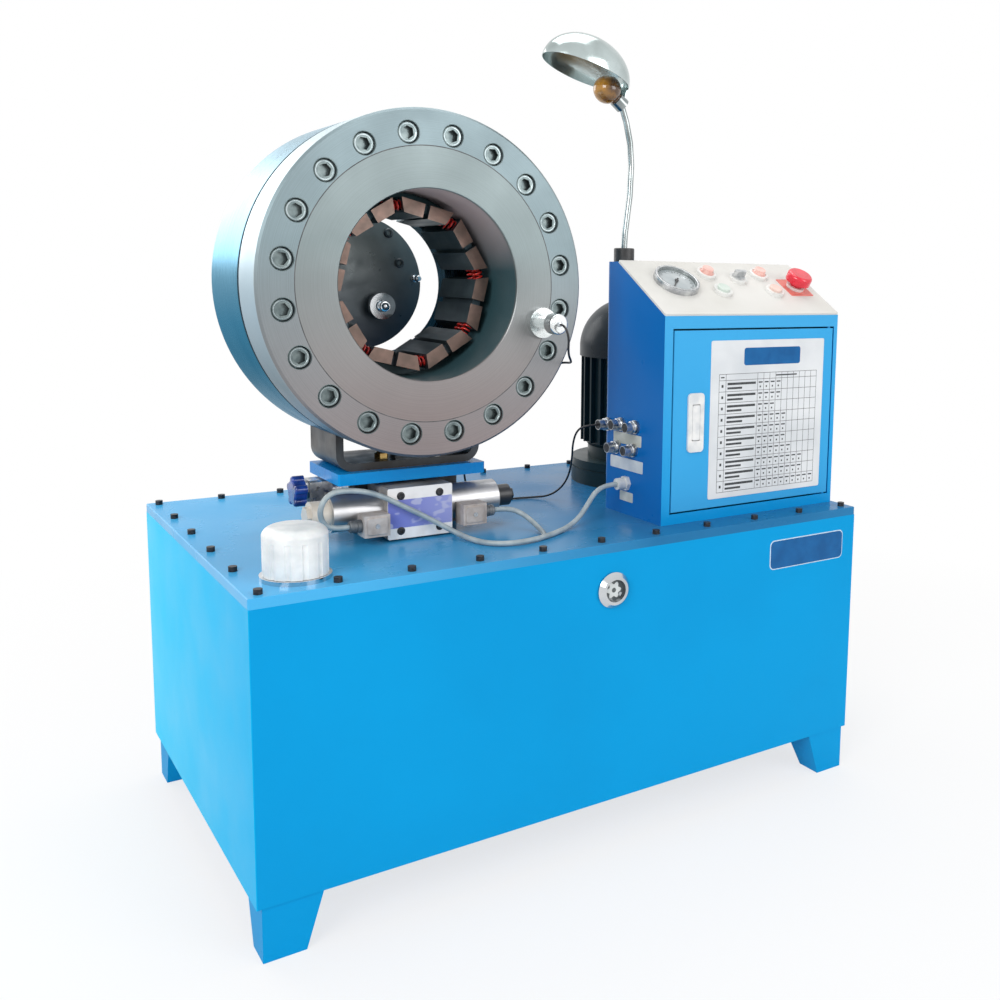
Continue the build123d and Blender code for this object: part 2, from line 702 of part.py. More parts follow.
def make_relief_valve():
    """Pressure relief valve screwed into the manifold's side, and its star handwheel."""
    x = tank_left + relief_left
    y = tank_front + relief_y_from_front
    nut_face = x - relief_nut_thickness
    block_left = tank_left + block_from_left
    with BuildPart() as relief:
        with Locations((x + relief_block / 2, y, relief_z)):
            Box(relief_block, relief_block, relief_block)
        chamfer(relief.edges().filter_by(Axis.X), 2)
        with Locations(Plane(origin=(x + relief_block / 2, y - relief_block / 2, relief_z),
                             x_dir=(1, 0, 0), z_dir=(0, -1, 0))):
            with Locations((-6, 4), (6, -4)):
                Hole(3, depth=8)
        with BuildSketch(along_x(x + relief_block, y, relief_z)):
            Circle(14)
        extrude(amount=block_left - x - relief_block)
        with BuildSketch(along_x(x, y, relief_z)):
            RegularPolygon(11, 6)
        extrude(amount=-relief_nut_thickness)
        with Locations(Plane(origin=(nut_face, y, relief_z), x_dir=(0, 1, 0), z_dir=(-1, 0, 0))):
            Hole(handwheel_stem_r + running_gap, depth=24)
    keep("relief_valve", relief)
    hub = nut_face - handwheel_gap
    with BuildPart() as handwheel:
        with BuildSketch(along_x(hub, y, relief_z)):
            Circle(handwheel_r - 5)
            with PolarLocations(handwheel_r - 6, 5, start_angle=90):
                Circle(6)
        extrude(amount=-handwheel_thickness)
        fillet(handwheel.faces().sort_by(Axis.X)[0].edges(), 3)
        with BuildSketch(along_x(hub, y, relief_z)):
            Circle(handwheel_stem_r)
        extrude(amount=handwheel_gap + 20)
    keep("relief_handwheel", handwheel)


# ---- control cabinet ----------------------------------------------------------------------------
def cabinet_outline(inset):
    """The cabinet's side outline with its sloped top front, drawn an inset inside the real one."""
    low, high = tank_top + inset, cabinet_top - inset
    front, back = cabinet_front + inset, cabinet_back - inset
    slope_shift = inset * math.tan(math.radians(slope_angle) / 2)
    return [(front, low), (back, low), (back, high), (cabinet_front + slope_run + slope_shift, high),
            (front, cabinet_top - slope_drop - inset * math.tan(math.radians(45 - slope_angle / 2)))]


def door_edges():
    """Left, right, bottom and top of the door."""
    return (cabinet_left + door_side_margin, cabinet_right - 10, tank_top + door_bottom_margin,
            tank_top + door_bottom_margin + door_height)


def slope_plane(x_from_left, up_slope, lift=0.0):
    """A plane on the sloped panel at a distance from the cabinet's left side and up the slope."""
    a = math.radians(slope_angle)
    normal = (0, -math.sin(a), math.cos(a))
    base = Vector(cabinet_left + x_from_left, cabinet_front + up_slope * math.cos(a),
                  cabinet_top - slope_drop + up_slope * math.sin(a))
    return Plane(origin=base + Vector(*normal) * lift, x_dir=(1, 0, 0), z_dir=normal)


# what sits on the panel: distance from the cabinet's left side and up the slope
gauge_place = (66.0, 80.0)
lamp_places = ((137.0, 104.0), (240.0, 104.0))
button_places = ((138.0, 58.0), (240.0, 58.0))
selector_place = (190.0, 92.0)
estop_place = (292.0, 71.0)


def make_cabinet():
    """Folded sheet cabinet with a door frame in front and a sloped opening for the panel."""
    middle_x = (cabinet_left + cabinet_right) / 2
    side = Plane(origin=(middle_x, 0, 0), x_dir=(0, 1, 0), z_dir=(1, 0, 0))
    left, right, bottom, top = door_edges()
    bodies = []
    for inset in (0, cabinet_wall):
        with BuildPart() as body:
            with BuildSketch(side):
                with BuildLine():
                    Polyline(*cabinet_outline(inset), close=True)
                make_face()
            extrude(amount=cabinet_width / 2 - inset, both=True)
            rear_edges = body.edges().filter_by(Axis.Z).group_by(Axis.Y)[-1]
            fillet(rear_edges, cabinet_rear_radius - inset)
        bodies.append(body.part)
    with BuildPart() as shell:
        add(bodies[0])
        add(bodies[1], mode=Mode.SUBTRACT)
        # door opening, and the bars above and below it that carry the pivots
        with Locations(((left + right) / 2, cabinet_front, (bottom + top) / 2)):
            Box(right - left + 2 * door_gap, 4 * cabinet_wall, top - bottom + 2 * door_gap, mode=Mode.SUBTRACT)
        pin_x = right - door_pin_inset
        for z, low in ((top + door_gap, True), (bottom - door_gap, False)):
            with Locations((pin_x - 6, cabinet_front + 1, z)):
                Box(24, 16, 8, align=(Align.CENTER, Align.MIN, Align.MIN if low else Align.MAX))
        for z, sign in ((top + door_gap, -1), (bottom - door_gap, 1)):
            with BuildSketch(upright(pin_x, cabinet_front + door_pin_inset, z - sign)):
                Circle(door_pin_r)
            extrude(amount=sign * (door_gap + 12))
        # panel opening
        lip = 12
        with BuildSketch(slope_plane(cabinet_width / 2, slope_length / 2, 1)):
            Rectangle(cabinet_width - 2 * lip, slope_length - 2 * lip)
        extrude(amount=-4 * cabinet_wall, mode=Mode.SUBTRACT)
    keep("cabinet_shell", shell)

    with BuildPart() as panel:
        with BuildSketch(slope_plane(cabinet_width / 2, slope_length / 2)):
            RectangleRounded(cabinet_width, slope_length - 1, 3)
            with Locations(*[(x - cabinet_width / 2, s - slope_length / 2)
                             for x, s in (*lamp_places, *button_places, selector_place, estop_place)]):
                Circle(button_r, mode=Mode.SUBTRACT)
            with Locations((gauge_place[0] - cabinet_width / 2, gauge_place[1] - slope_length / 2)):
                Circle(gauge_r - 5, mode=Mode.SUBTRACT)
        extrude(amount=panel_thickness)
    keep("control_panel", panel)


def make_door():
    """Folded door on two pivot pins, with a lock body and the lever that swings out of it."""
    left, right, bottom, top = door_edges()
    width, height = right - left, top - bottom
    pin_x = right - door_pin_inset
    pin_y = cabinet_front + door_pin_inset
    lock_x, lock_z = cabinet_left + 56, tank_top + 143
    with BuildPart() as door:
        with Locations(((left + right) / 2, cabinet_front, bottom)):
            Box(width, door_depth, height, align=(Align.CENTER, Align.MIN, Align.MIN))
        with Locations(((left + right) / 2, cabinet_front + door_wall, bottom + door_wall)):
            Box(width - 2 * door_wall, door_depth, height - 2 * door_wall,
                align=(Align.CENTER, Align.MIN, Align.MIN), mode=Mode.SUBTRACT)
        for z, low in ((bottom, True), (top, False)):
            with Locations((pin_x - 1, cabinet_front, z)):
                Box(12, 12, 16, align=(Align.CENTER, Align.MIN, Align.MIN if low else Align.MAX))
            with Locations((pin_x, pin_y, z)):
                Cylinder(door_pin_r + running_gap, 2 * 13, mode=Mode.SUBTRACT)
        with Locations((lock_x, cabinet_front, lock_z)):
            Box(19, 20, 60, mode=Mode.SUBTRACT)
    keep("cabinet_door", door)

    with BuildPart() as lock:
        with Locations((lock_x, cabinet_front, lock_z)):
            Box(28, 3, 84, align=(Align.CENTER, Align.MAX, Align.CENTER))
        fillet(lock.edges().filter_by(Axis.Y), 6)
        with Locations((lock_x, cabinet_front, lock_z)):
            Box(18.4, 22, 59, align=(Align.CENTER, Align.MIN, Align.CENTER))
        with Locations((lock_x, cabinet_front - 3, lock_z)):
            Box(14, 2 * 12, 52, mode=Mode.SUBTRACT)
        with Locations(along_x(lock_x + 7, cabinet_front - 0.5, lock_z + 20)):
            Cylinder(1.5, 3)
        with Locations(along_x(lock_x - 7, cabinet_front - 0.5, lock_z + 20)):
            Cylinder(1.5, 3)
    keep("lock_body", lock)
    with BuildPart() as lever:
        with Locations((lock_x, cabinet_front - 3, lock_z)):
            Box(13, 6, 50, align=(Align.CENTER, Align.MIN, Align.CENTER))
        fillet(lever.edges().filter_by(Axis.Y), 3)
        with Locations(along_x(lock_x, cabinet_front - 0.5, lock_z + 20)):
            Cylinder(1.5 + running_gap, 20, mode=Mode.SUBTRACT)
    keep("lock_lever", lever)


def make_panel_devices():
    """Gauge, pilot lamps, push-buttons, selector and emergency stop on the sloped panel."""
    a = panel_thickness
    with BuildPart() as gauge:
        with BuildSketch(slope_plane(*gauge_place, a)):
            Circle(gauge_r)
        extrude(amount=9)
        with BuildSketch(slope_plane(*gauge_place, a)):
            Circle(gauge_r - 5.3)
        extrude(amount=-30)
        with BuildSketch(slope_plane(*gauge_place, a + 9)):
            Circle(gauge_r - 4)
        extrude(amount=-6, mode=Mode.SUBTRACT)
        with BuildSketch(slope_plane(*gauge_place, a + 3)):
            Circle(1.5 + running_gap)
        extrude(amount=-8, mode=Mode.SUBTRACT)
    keep("gauge_case", gauge)
    with BuildPart() as needle:
        with BuildSketch(slope_plane(*gauge_place, a + 4.5)):
            Circle(3)
            with BuildLine():
                Polyline((-16, -17.5), (-15, -18.5), (6, 4), (4, 6), close=True)
            make_face()
        extrude(amount=1)
        with BuildSketch(slope_plane(*gauge_place, a + 4.5)):
            Circle(1.5)
        extrude(amount=-7)
    keep("gauge_needle", needle)

    with BuildPart() as lamps:
        for place in lamp_places:
            with BuildSketch(slope_plane(*place, a)):
                Circle(bezel_r)
            extrude(amount=bezel_height)
            with BuildSketch(slope_plane(*place, a + bezel_height)):
                Circle(button_r - 1)
            extrude(amount=7, taper=12)
            with BuildSketch(slope_plane(*place, a)):
                Circle(button_r - 0.2)
            extrude(amount=-30)
    keep("pilot_lamps", lamps)
    with BuildPart() as bezels:
        for place in (*button_places, selector_place, estop_place):
            with BuildSketch(slope_plane(*place, a)):
                Circle(bezel_r)
                Circle(button_r - 1, mode=Mode.SUBTRACT)
            extrude(amount=bezel_height)
            with BuildSketch(slope_plane(*place, a)):
                Circle(button_r - 0.2)
                Circle(button_r - 1, mode=Mode.SUBTRACT)
            extrude(amount=-14)
    keep("panel_bezels", bezels)
    for number, place in enumerate(button_places):
        with BuildPart() as button:
            with BuildSketch(slope_plane(*place, a + bezel_height + button_travel)):
                Circle(button_r - 1.05)
            extrude(amount=-16)
            fillet(button.faces().sort_by(Axis.Z)[-1].edges(), 1)
        keep(f"push_button_{number + 1}", button)
    with BuildPart() as selector:
        with BuildSketch(slope_plane(*selector_place, a + bezel_height + 2)):
            Circle(button_r - 1.05)
        extrude(amount=-12)
        with BuildSketch(slope_plane(*selector_place, a + bezel_height + 2)):
            SlotOverall(22, 7)
        extrude(amount=9)
    keep("selector_switch", selector)
    with BuildPart() as estop:
        with BuildSketch(slope_plane(*estop_place, a + bezel_height + 7)):
            Circle(estop_r)
        extrude(amount=14)
        fillet(estop.faces().sort_by(Axis.Z)[-1].edges(), 5)
        with BuildSketch(slope_plane(*estop_place, a + bezel_height + 7)):
            Circle(button_r - 1.05)
        extrude(amount=-16)
    keep("emergency_stop", estop)


# round connectors on the cabinet's left side: distance from its back, and above the lid
connector_places = ((15.0, 128.0), (49.0, 132.0), (85.0, 132.0), (39.0, 97.0), (81.0, 98.0))


def make_cabinet_fittings():
    """Round metal connectors and the solenoid cable's gland on the left side, control gear inside."""
    with BuildPart() as connectors:
        for from_back, up in connector_places:
            base = along_x(cabinet_left, cabinet_back - from_back, tank_top + up)
            with BuildSketch(base):
                Circle(10)
            extrude(amount=-4)
            with BuildSketch(base.offset(-4)):
                Circle(7.5)
            extrude(amount=-16)
    keep("cabinet_connectors", connectors)
    y, z = gland_place()
    with BuildPart() as gland:
        with BuildSketch(along_x(cabinet_left, y, z)):
            RegularPolygon(11, 6)
        extrude(amount=-6)
        with BuildSketch(along_x(cabinet_left - 6, y, z)):
            Circle(8.5)
        extrude(amount=-12)
    keep("cable_gland", gland)

    middle = (cabinet_left + cabinet_right) / 2
    back_plate = cabinet_back - cabinet_wall
    with BuildPart() as gear:
        with Locations((middle, back_plate, tank_top + 20)):
            Box(cabinet_width - 60, 3, 240, align=(Align.CENTER, Align.MAX, Align.MIN))
        for x, z, size in ((-80, 180, (45, 70, 75)), (-25, 180, (45, 70, 75)), (50, 180, (78, 60, 85)),
                           (-50, 75, (100, 55, 60)), (60, 70, (90, 40, 45))):
            with Locations((middle + x, back_plate - 3, tank_top + 20 + z)):
                Box(*size, align=(Align.CENTER, Align.MAX, Align.CENTER))
    keep("control_gear", gear)


def connector_end(number):
    """The outer end of one of the round connectors."""
    from_back, up = connector_places[number]
    return cabinet_left - 20, cabinet_back - from_back, tank_top + up


def gland_place():
    """Y and Z of the solenoid cable's gland."""
    return tank_front + 133, tank_top + 47


# ---- motor and pump -----------------------------------------------------------------------------
def make_motor():
    """Upright flange motor: bell housing, finned body, rotor with fan, cowl, and the pump below."""
    axis = Axis((motor_x, motor_y, 0), (0, 0, 1))
    section = Plane(origin=(motor_x, motor_y, 0), x_dir=(1, 0, 0), z_dir=(0, -1, 0))
    joint_z = tank_top + bell_height
    flange_top = joint_z + 14
    neck = motor_body_bottom
    bore = shaft_r + 4
    shell_r = motor_r - 8
    with BuildPart() as body:
        with BuildSketch(section):
            with BuildLine():
                Polyline((62, tank_top), (motor_flange_r, tank_top), (motor_flange_r, joint_z - 1),
                         (motor_flange_r - 1.5, joint_z - 1), (motor_flange_r - 1.5, joint_z + 1),
                         (motor_flange_r, joint_z + 1), (motor_flange_r, flange_top), (94, flange_top),
                         (94, neck), (shell_r, neck + 6), (shell_r, motor_body_top), (bore, motor_body_top),
                         (bore, motor_body_top - 12), (motor_bore_r, motor_body_top - 12),
                         (motor_bore_r, neck), (bore, neck), (bore, joint_z), (62, joint_z), close=True)
            make_face()
        revolve(axis=axis)
        with BuildSketch(upright(motor_x, motor_y, neck + 8)):
            with PolarLocations(motor_r - 6, fin_count):
                Rectangle(12, 4)
        extrude(amount=motor_body_top - neck - 14)
        with Locations((motor_x + shell_r - 4, motor_y, (neck + motor_body_top) / 2)):
            Box(terminal_box[0], terminal_box[1], terminal_box[2],
                align=(Align.MIN, Align.CENTER, Align.CENTER))
    keep("motor_body", body)
    with BuildPart() as rotor:
        with BuildSketch(upright(motor_x, motor_y, tank_top - 40)):
            Circle(shaft_r)
        extrude(amount=cowl_top - 34 - tank_top + 40)
        with BuildSketch(upright(motor_x, motor_y, neck + 10)):
            Circle(motor_bore_r - 0.5)
        extrude(amount=motor_body_top - neck - 40)
        with BuildSketch(upright(motor_x, motor_y, motor_body_top + 10)):
            Circle(30)
            with PolarLocations(50, 7):
                Rectangle(60, 4)
        extrude(amount=36)
    keep("motor_rotor", rotor)
    low = motor_body_top - 8
    inner_r = motor_r + 0.3
    outer_r = motor_r + 2.3
    with BuildPart() as cowl:
        with BuildSketch(section):
            with BuildLine():
                Polyline((inner_r, low + 20), (inner_r, low), (outer_r, low), (outer_r, low + 20))
                ThreePointArc((outer_r, low + 20), (85, cowl_top - 23), (cowl_hole_r, cowl_top))
                Line((cowl_hole_r, cowl_top), (cowl_hole_r, cowl_top - 2))
                ThreePointArc((cowl_hole_r, cowl_top - 2), (83.6, cowl_top - 25), (inner_r, low + 20))
            make_face()
        revolve(axis=axis)
    keep("fan_cowl", cowl)
    with BuildPart() as pump:
        with Locations((motor_x, motor_y, lid_bottom)):
            Cylinder(60, 12, align=(Align.CENTER, Align.CENTER, Align.MAX))
        with Locations((motor_x, motor_y, lid_bottom - 12)):
            Box(90, 90, 110, align=(Align.CENTER, Align.CENTER, Align.MAX))
        with Locations((motor_x, motor_y, lid_bottom)):
            Cylinder(shaft_r + 0.3, 2 * 60, mode=Mode.SUBTRACT)
        with Locations((motor_x - 25, motor_y, lid_bottom - 122)):
            Cylinder(17, 150, align=(Align.CENTER, Align.CENTER, Align.MAX))
    keep("oil_pump", pump)


# ---- work lamp ----------------------------------------------------------------------------------
def make_lamp():
    """Work lamp: weighted base, bent steel tube, lampholder, bulb and dished reflector."""
    with BuildPart() as base:
        with BuildSketch(upright(lamp_x, lamp_y, cabinet_top)):
            Circle(lamp_base_r)
        extrude(amount=lamp_base_height)
        fillet(base.faces().sort_by(Axis.Z)[-1].edges(), 2)
        with Locations((lamp_x, lamp_y, cabinet_top + lamp_base_height)):
            Hole(gooseneck_r + running_gap, depth=15)
    keep("lamp_base", base)

    start = (lamp_x, lamp_y, cabinet_top + lamp_base_height - 14)
    bends = [(lamp_x + x, lamp_y, cabinet_top + z) for x, z in lamp_tube_bends]
    holder = holder_plane()
    with BuildPart() as tube:
        with BuildLine():
            path = FilletPolyline(start, *bends, radius=38)
        with BuildSketch(Plane(origin=start, z_dir=path % 0)):
            Circle(gooseneck_r)
        sweep(path=path)
        with BuildSketch(holder):
            Circle(holder_r)
        extrude(amount=holder_length)
    keep("lamp_tube", tube)
    with BuildPart() as bulb:
        with BuildSketch(holder.offset(holder_length)):
            Circle(9)
        extrude(amount=10)
        with Locations(holder.offset(holder_length + bulb_r)):
            Sphere(bulb_r)
    keep("lamp_bulb", bulb)


def holder_plane():
    """The lampholder's rear face: a plane at the tube's end, facing along the holder."""
    turn = math.radians(holder_angle)
    along = Vector(math.cos(turn), 0, math.sin(turn))
    end_x, end_z = lamp_tube_bends[-1]
    tube_end = Vector(lamp_x + end_x, lamp_y, cabinet_top + end_z)
    return Plane(origin=tube_end - along * 3, x_dir=(0, 1, 0), z_dir=along)


def make_shade():
    """Dished reflector: a thin half ellipsoid with its rim tilted, and the clip on the holder."""
    tilt = math.radians(shade_tilt)
    rim = Plane(origin=(lamp_x + shade_rim_middle[0], lamp_y, cabinet_top + shade_rim_middle[1]),
                x_dir=(math.cos(tilt), 0, -math.sin(tilt)), z_dir=(math.sin(tilt), 0, math.cos(tilt)))
    half_x, half_y, height = shade_half
    with BuildPart() as dome:
        Sphere(half_x, arc_size1=0, align=(Align.CENTER, Align.CENTER, Align.MIN))
        scale(by=(1, half_y / half_x, height / half_x))
    inner = (1 - shade_wall / half_x, 1 - shade_wall / half_y, 1 - shade_wall / height)
    hollow = scale(dome.part, by=inner, mode=Mode.PRIVATE)
    with BuildPart() as shade:
        add(rim.location * dome.part)
        add(rim.location * hollow, mode=Mode.SUBTRACT)
        with Locations(rim):
            with Locations((half_x - 1.2, 0, -5)):
                Box(1.6, 14, 14)
        with BuildSketch(holder_plane().offset(-2)):
            Circle(holder_r + 0.1)
        extrude(amount=holder_length + 10, mode=Mode.SUBTRACT)
    keep("lamp_shade", shade)


# ---- leads --------------------------------------------------------------------------------------
def lead(name, points, radius):
    """A lead along straight runs joined by tangent arcs, each as large as its two runs allow."""
    runs = [(Vector(*b) - Vector(*a)) for a, b in zip(points, points[1:])]
    radii = []
    for before, after in zip(runs, runs[1:]):
        half_turn = math.radians(before.get_angle(after)) / 2
        radii.append(0.45 * min(before.length, after.length) / math.tan(half_turn))
    print(name, "radii", [round(r) for r in radii])
    with BuildPart() as made:
        with BuildLine():
            path = FilletPolyline(*points, radius=radii)
        with BuildSketch(Plane(origin=points[0], z_dir=path % 0)):
            Circle(radius)
        sweep(path=path)
    share = made.part.volume / (math.pi * radius ** 2 * path.length)
    print(name, "length", round(path.length), "volume share", round(share, 4))
    keep(name, made)


def make_leads():
    """The two solenoid cables and the sensor's lead."""
    lid = tank_top + cable_r + 0.3
    gland_y, gland_z = gland_place()
    plug_y = coil_y - coil_r - plug_size[1] / 2
    (left_plug, _), (right_plug, _) = plug_places()
    reach = plug_size[0] / 2 + plug_gland_length
    lead("solenoid_cable_1", [
        (cabinet_left - 18, gland_y, gland_z), (80, gland_y, gland_z), (58, -146, 460), (39, -156, 444),
        (20, -164, 430), (-6, -178, lid), (-40, -199, lid), (-78, -215, lid + 0.2), (-114, -216, lid),
        (-138, -199, lid), (-147, -171, lid + 0.3), (-155, -145, 428), (-172, -132, 439), (-195, -128, 453),
        (-220, -127, 467), (-244, -125, 481), (-268, -124, 491), (-292, -125, 495), (-311.8, -125.5, 495),
        (-324.4, -126, 485.8), (-329.2, -125.5, 471), (-324.4, -123, 456.2), (-311.8, plug_y, plug_z),
        (left_plug - reach, plug_y, plug_z)],
        cable_r)
    lead("solenoid_cable_2", [
        (-58, -206.5, lid), (-50, -192, lid), (-44, -172, lid + 0.5), (-44, -150, 431), (-52, -131, 441),
        (-68, plug_y, plug_z), (right_plug + reach, plug_y, plug_z)], cable_r)
    floor = tank_top + sensor_lead_r + 0.3
    last_x, last_y, last_z = connector_end(0)
    knob_x, knob_z = head_x + sensor_at[0], head_z + sensor_at[1]
    lead("sensor_lead", [
        (knob_x, head_front - 50, knob_z), (knob_x, head_front - 58.5, knob_z), (-38.5, -227, 696),
        (-35.5, -227, 684), (-31, -218, 671), (-22, -205, 661), (-10, -190, 654), (0, -174, 649),
        (2, -150, 648),
        (-3, -122, 642), (-11, -90, 630), (-29, -52, 605), (-50, -24, 576), (-66, -4, 540), (-70, 10, 506),
        (-66, 20, 470), (-54, 28, 440), (-34, 34, floor + 2), (-6, 36, floor), (26, 36, floor),
        (54, 30, floor), (76, 12, floor + 3), (88, -8, 442), (88, -28, 466), (80, -48, 494),
        (70, -66, 520), (68, -80, 540), (76, last_y, last_z), (last_x, last_y, last_z)], sensor_lead_r)


make_tank()
make_lid()
make_sight_glass()
make_breather()
make_head()
make_jaws()
make_jaw_springs()
make_rear_stop()
make_sensor()
make_stand()
make_valve()
make_relief_valve()
make_cabinet()
make_door()
make_panel_devices()
make_cabinet_fittings()
make_motor()
make_lamp()
make_shade()
make_leads()
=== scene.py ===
import math

import bmesh
import bpy
import numpy as np
from mathutils import Matrix, Vector


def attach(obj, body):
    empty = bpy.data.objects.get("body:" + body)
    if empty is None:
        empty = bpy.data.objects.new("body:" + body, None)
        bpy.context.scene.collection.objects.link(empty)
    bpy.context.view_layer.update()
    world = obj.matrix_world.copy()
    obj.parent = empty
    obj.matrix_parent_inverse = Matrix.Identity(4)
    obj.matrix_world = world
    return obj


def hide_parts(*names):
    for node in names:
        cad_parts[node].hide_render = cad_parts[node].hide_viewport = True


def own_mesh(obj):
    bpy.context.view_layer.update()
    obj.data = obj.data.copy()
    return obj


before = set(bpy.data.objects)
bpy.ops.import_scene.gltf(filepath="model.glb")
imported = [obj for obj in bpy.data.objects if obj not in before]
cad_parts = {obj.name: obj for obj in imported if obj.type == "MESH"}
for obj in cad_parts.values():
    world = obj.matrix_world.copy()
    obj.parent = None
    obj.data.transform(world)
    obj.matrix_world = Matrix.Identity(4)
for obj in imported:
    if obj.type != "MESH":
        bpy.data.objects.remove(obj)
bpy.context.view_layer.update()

# ---- camera -------------------------------------------------------------------------------------
# Stands in front of the machine's left end, a little above the cabinet, and looks slightly down.
camera_place = (-0.74197, -1.39676, 0.76695)
camera_yaw, camera_pitch, camera_roll = 0.6113, -0.1292, 0.0188
ahead = Vector((math.sin(camera_yaw) * math.cos(camera_pitch),
                math.cos(camera_yaw) * math.cos(camera_pitch), math.sin(camera_pitch)))
level = Vector((math.cos(camera_yaw), -math.sin(camera_yaw), 0))
over = level.cross(ahead)
camera_right = level * math.cos(camera_roll) + over * math.sin(camera_roll)
camera_up = over * math.cos(camera_roll) - level * math.sin(camera_roll)
lens = bpy.data.cameras.new("camera")
lens.lens = 38.24
lens.shift_x = -0.14
lens.shift_y = -0.086
lens.clip_end = 30
camera = bpy.data.objects.new("camera", lens)
bpy.context.scene.collection.objects.link(camera)
camera.matrix_world = Matrix.Translation(camera_place) @ Matrix(
    (camera_right, camera_up, -ahead)).transposed().to_4x4()
bpy.context.scene.camera = camera

# ---- studio -------------------------------------------------------------------------------------
# Pale floor that turns white away from the machine, white surroundings, and large soft lamps at a
# plain level, the strongest from the left. The floor keeps the machine's shadow.
bpy.context.scene.view_settings.view_transform = "Standard"


def calc(tree, operation, first, second=0.0):
    """One sum of two numbers or sockets."""
    node = tree.nodes.new("ShaderNodeMath")
    node.operation = operation
    for socket, value in zip(node.inputs, (first, second)):
        if isinstance(value, (int, float)):
            socket.default_value = value
        else:
            tree.links.new(value, socket)
    return node.outputs[0]


def span(tree, value, low, high, to_low=0.0, to_high=1.0):
    """A value between low and high, carried to another range and held at its ends."""
    node = tree.nodes.new("ShaderNodeMapRange")
    for socket, number in zip(node.inputs[1:5], (low, high, to_low, to_high)):
        socket.default_value = number
    tree.links.new(value, node.inputs[0])
    return node.outputs[0]


def seen_white(tree):
    """1 for the rays that show the surroundings to the camera, in gloss and through glass."""
    path = tree.nodes.new("ShaderNodeLightPath")
    direct = calc(tree, "MAXIMUM", path.outputs["Is Camera Ray"], path.outputs["Is Glossy Ray"])
    return calc(tree, "MAXIMUM", direct, path.outputs["Is Transmission Ray"])


world = bpy.data.worlds.new("studio")
bpy.context.scene.world = world
world.use_nodes = True
sky = world.node_tree.nodes["Background"]
sky.inputs["Color"].default_value = (1, 1, 1, 1)
world.node_tree.links.new(span(world.node_tree, seen_white(world.node_tree), 0, 1, 0.5, 1.0),
                          sky.inputs["Strength"])


def soft_lamp(name, place, aim, size, power):
    """A square area lamp at a place, facing a point."""
    light = bpy.data.lights.new(name, "AREA")
    light.size = size
    light.energy = power
    lamp = bpy.data.objects.new(name, light)
    bpy.context.scene.collection.objects.link(lamp)
    turn = (Vector(aim) - Vector(place)).to_track_quat("-Z", "Y")
    lamp.matrix_world = Matrix.Translation(place) @ turn.to_matrix().to_4x4()


soft_lamp("key", (-2.7, -1.9, 2.1), (0, 0, 0.5), 1.6, 58)
soft_lamp("fill", (1.4, -3.0, 1.7), (0.1, 0, 0.5), 1.8, 34)
soft_lamp("top", (0.2, 0.4, 3.0), (0, 0, 0.4), 2.0, 30)
soft_lamp("back", (-1.2, 2.9, 1.8), (0, 0, 0.5), 1.8, 26)

def shader_of(made):
    """The sockets of a material's shader."""
    return made.node_tree.nodes["Principled BSDF"].inputs


def finish(name, colour, roughness, metallic=0.0, **sockets):
    """A material with one shader whose constants stand on the shader's own sockets."""
    made = bpy.data.materials.new(name)
    made.use_nodes = True
    shader = shader_of(made)
    shader["Base Color"].default_value = (*colour, 1)
    shader["Roughness"].default_value = roughness
    shader["Metallic"].default_value = metallic
    for socket, value in sockets.items():
        shader[socket.replace("_", " ")].default_value = value
    return made


floor_mesh = bpy.data.meshes.new("floor")
floor_mesh.from_pydata([(-9, -9, 0), (9, -9, 0), (9, 9, 0), (-9, 9, 0)], [], [(0, 1, 2, 3)])
floor = bpy.data.objects.new("floor", floor_mesh)
bpy.context.scene.collection.objects.link(floor)
floor_paint = finish("floor", (0.87, 0.87, 0.87), 0.6, Specular_IOR_Level=0.1)
floor_tree = floor_paint.node_tree
floor_place = floor_tree.nodes.new("ShaderNodeTexCoord")
floor_reach = floor_tree.nodes.new("ShaderNodeVectorMath")
floor_reach.operation = "LENGTH"
floor_tree.links.new(floor_place.outputs["Object"], floor_reach.inputs[0])
floor_white = span(floor_tree, floor_reach.outputs["Value"], 0.5, 1.7, 0.72, 1.0)
floor_glow = floor_tree.nodes.new("ShaderNodeEmission")
floor_mix = floor_tree.nodes.new("ShaderNodeMixShader")
floor_tree.links.new(calc(floor_tree, "MULTIPLY", floor_white, seen_white(floor_tree)),
                     floor_mix.inputs["Fac"])
floor_tree.links.new(floor_tree.nodes["Principled BSDF"].outputs[0], floor_mix.inputs[1])
floor_tree.links.new(floor_glow.outputs[0], floor_mix.inputs[2])
floor_tree.links.new(floor_mix.outputs[0], floor_tree.nodes["Material Output"].inputs["Surface"])
floor_mesh.materials.append(floor_paint)

# ---- tank ---------------------------------------------------------------------------------------
# Welded sheet steel, sprayed with gloss blue enamel: orange peel in the film, slow change of tone
# and duller patches, with painted light making the left end lighter. The lid is thicker plate,
# screwed down, and its painted light and shade go from a light tone at its left to a deep one by the
# cabinet.


def grain(made, scale, stretch=(1, 1, 1), detail=4.0):
    """Noise on Object coordinates, stretched along each axis."""
    tree = made.node_tree
    where = tree.nodes.new("ShaderNodeTexCoord")
    mapping = tree.nodes.new("ShaderNodeMapping")
    mapping.vector_type = "TEXTURE"
    mapping.inputs["Scale"].default_value = stretch
    noise = tree.nodes.new("ShaderNodeTexNoise")
    noise.inputs["Scale"].default_value = scale
    noise.inputs["Detail"].default_value = detail
    tree.links.new(where.outputs["Object"], mapping.inputs["Vector"])
    tree.links.new(mapping.outputs[0], noise.inputs["Vector"])
    return noise.outputs["Fac"]


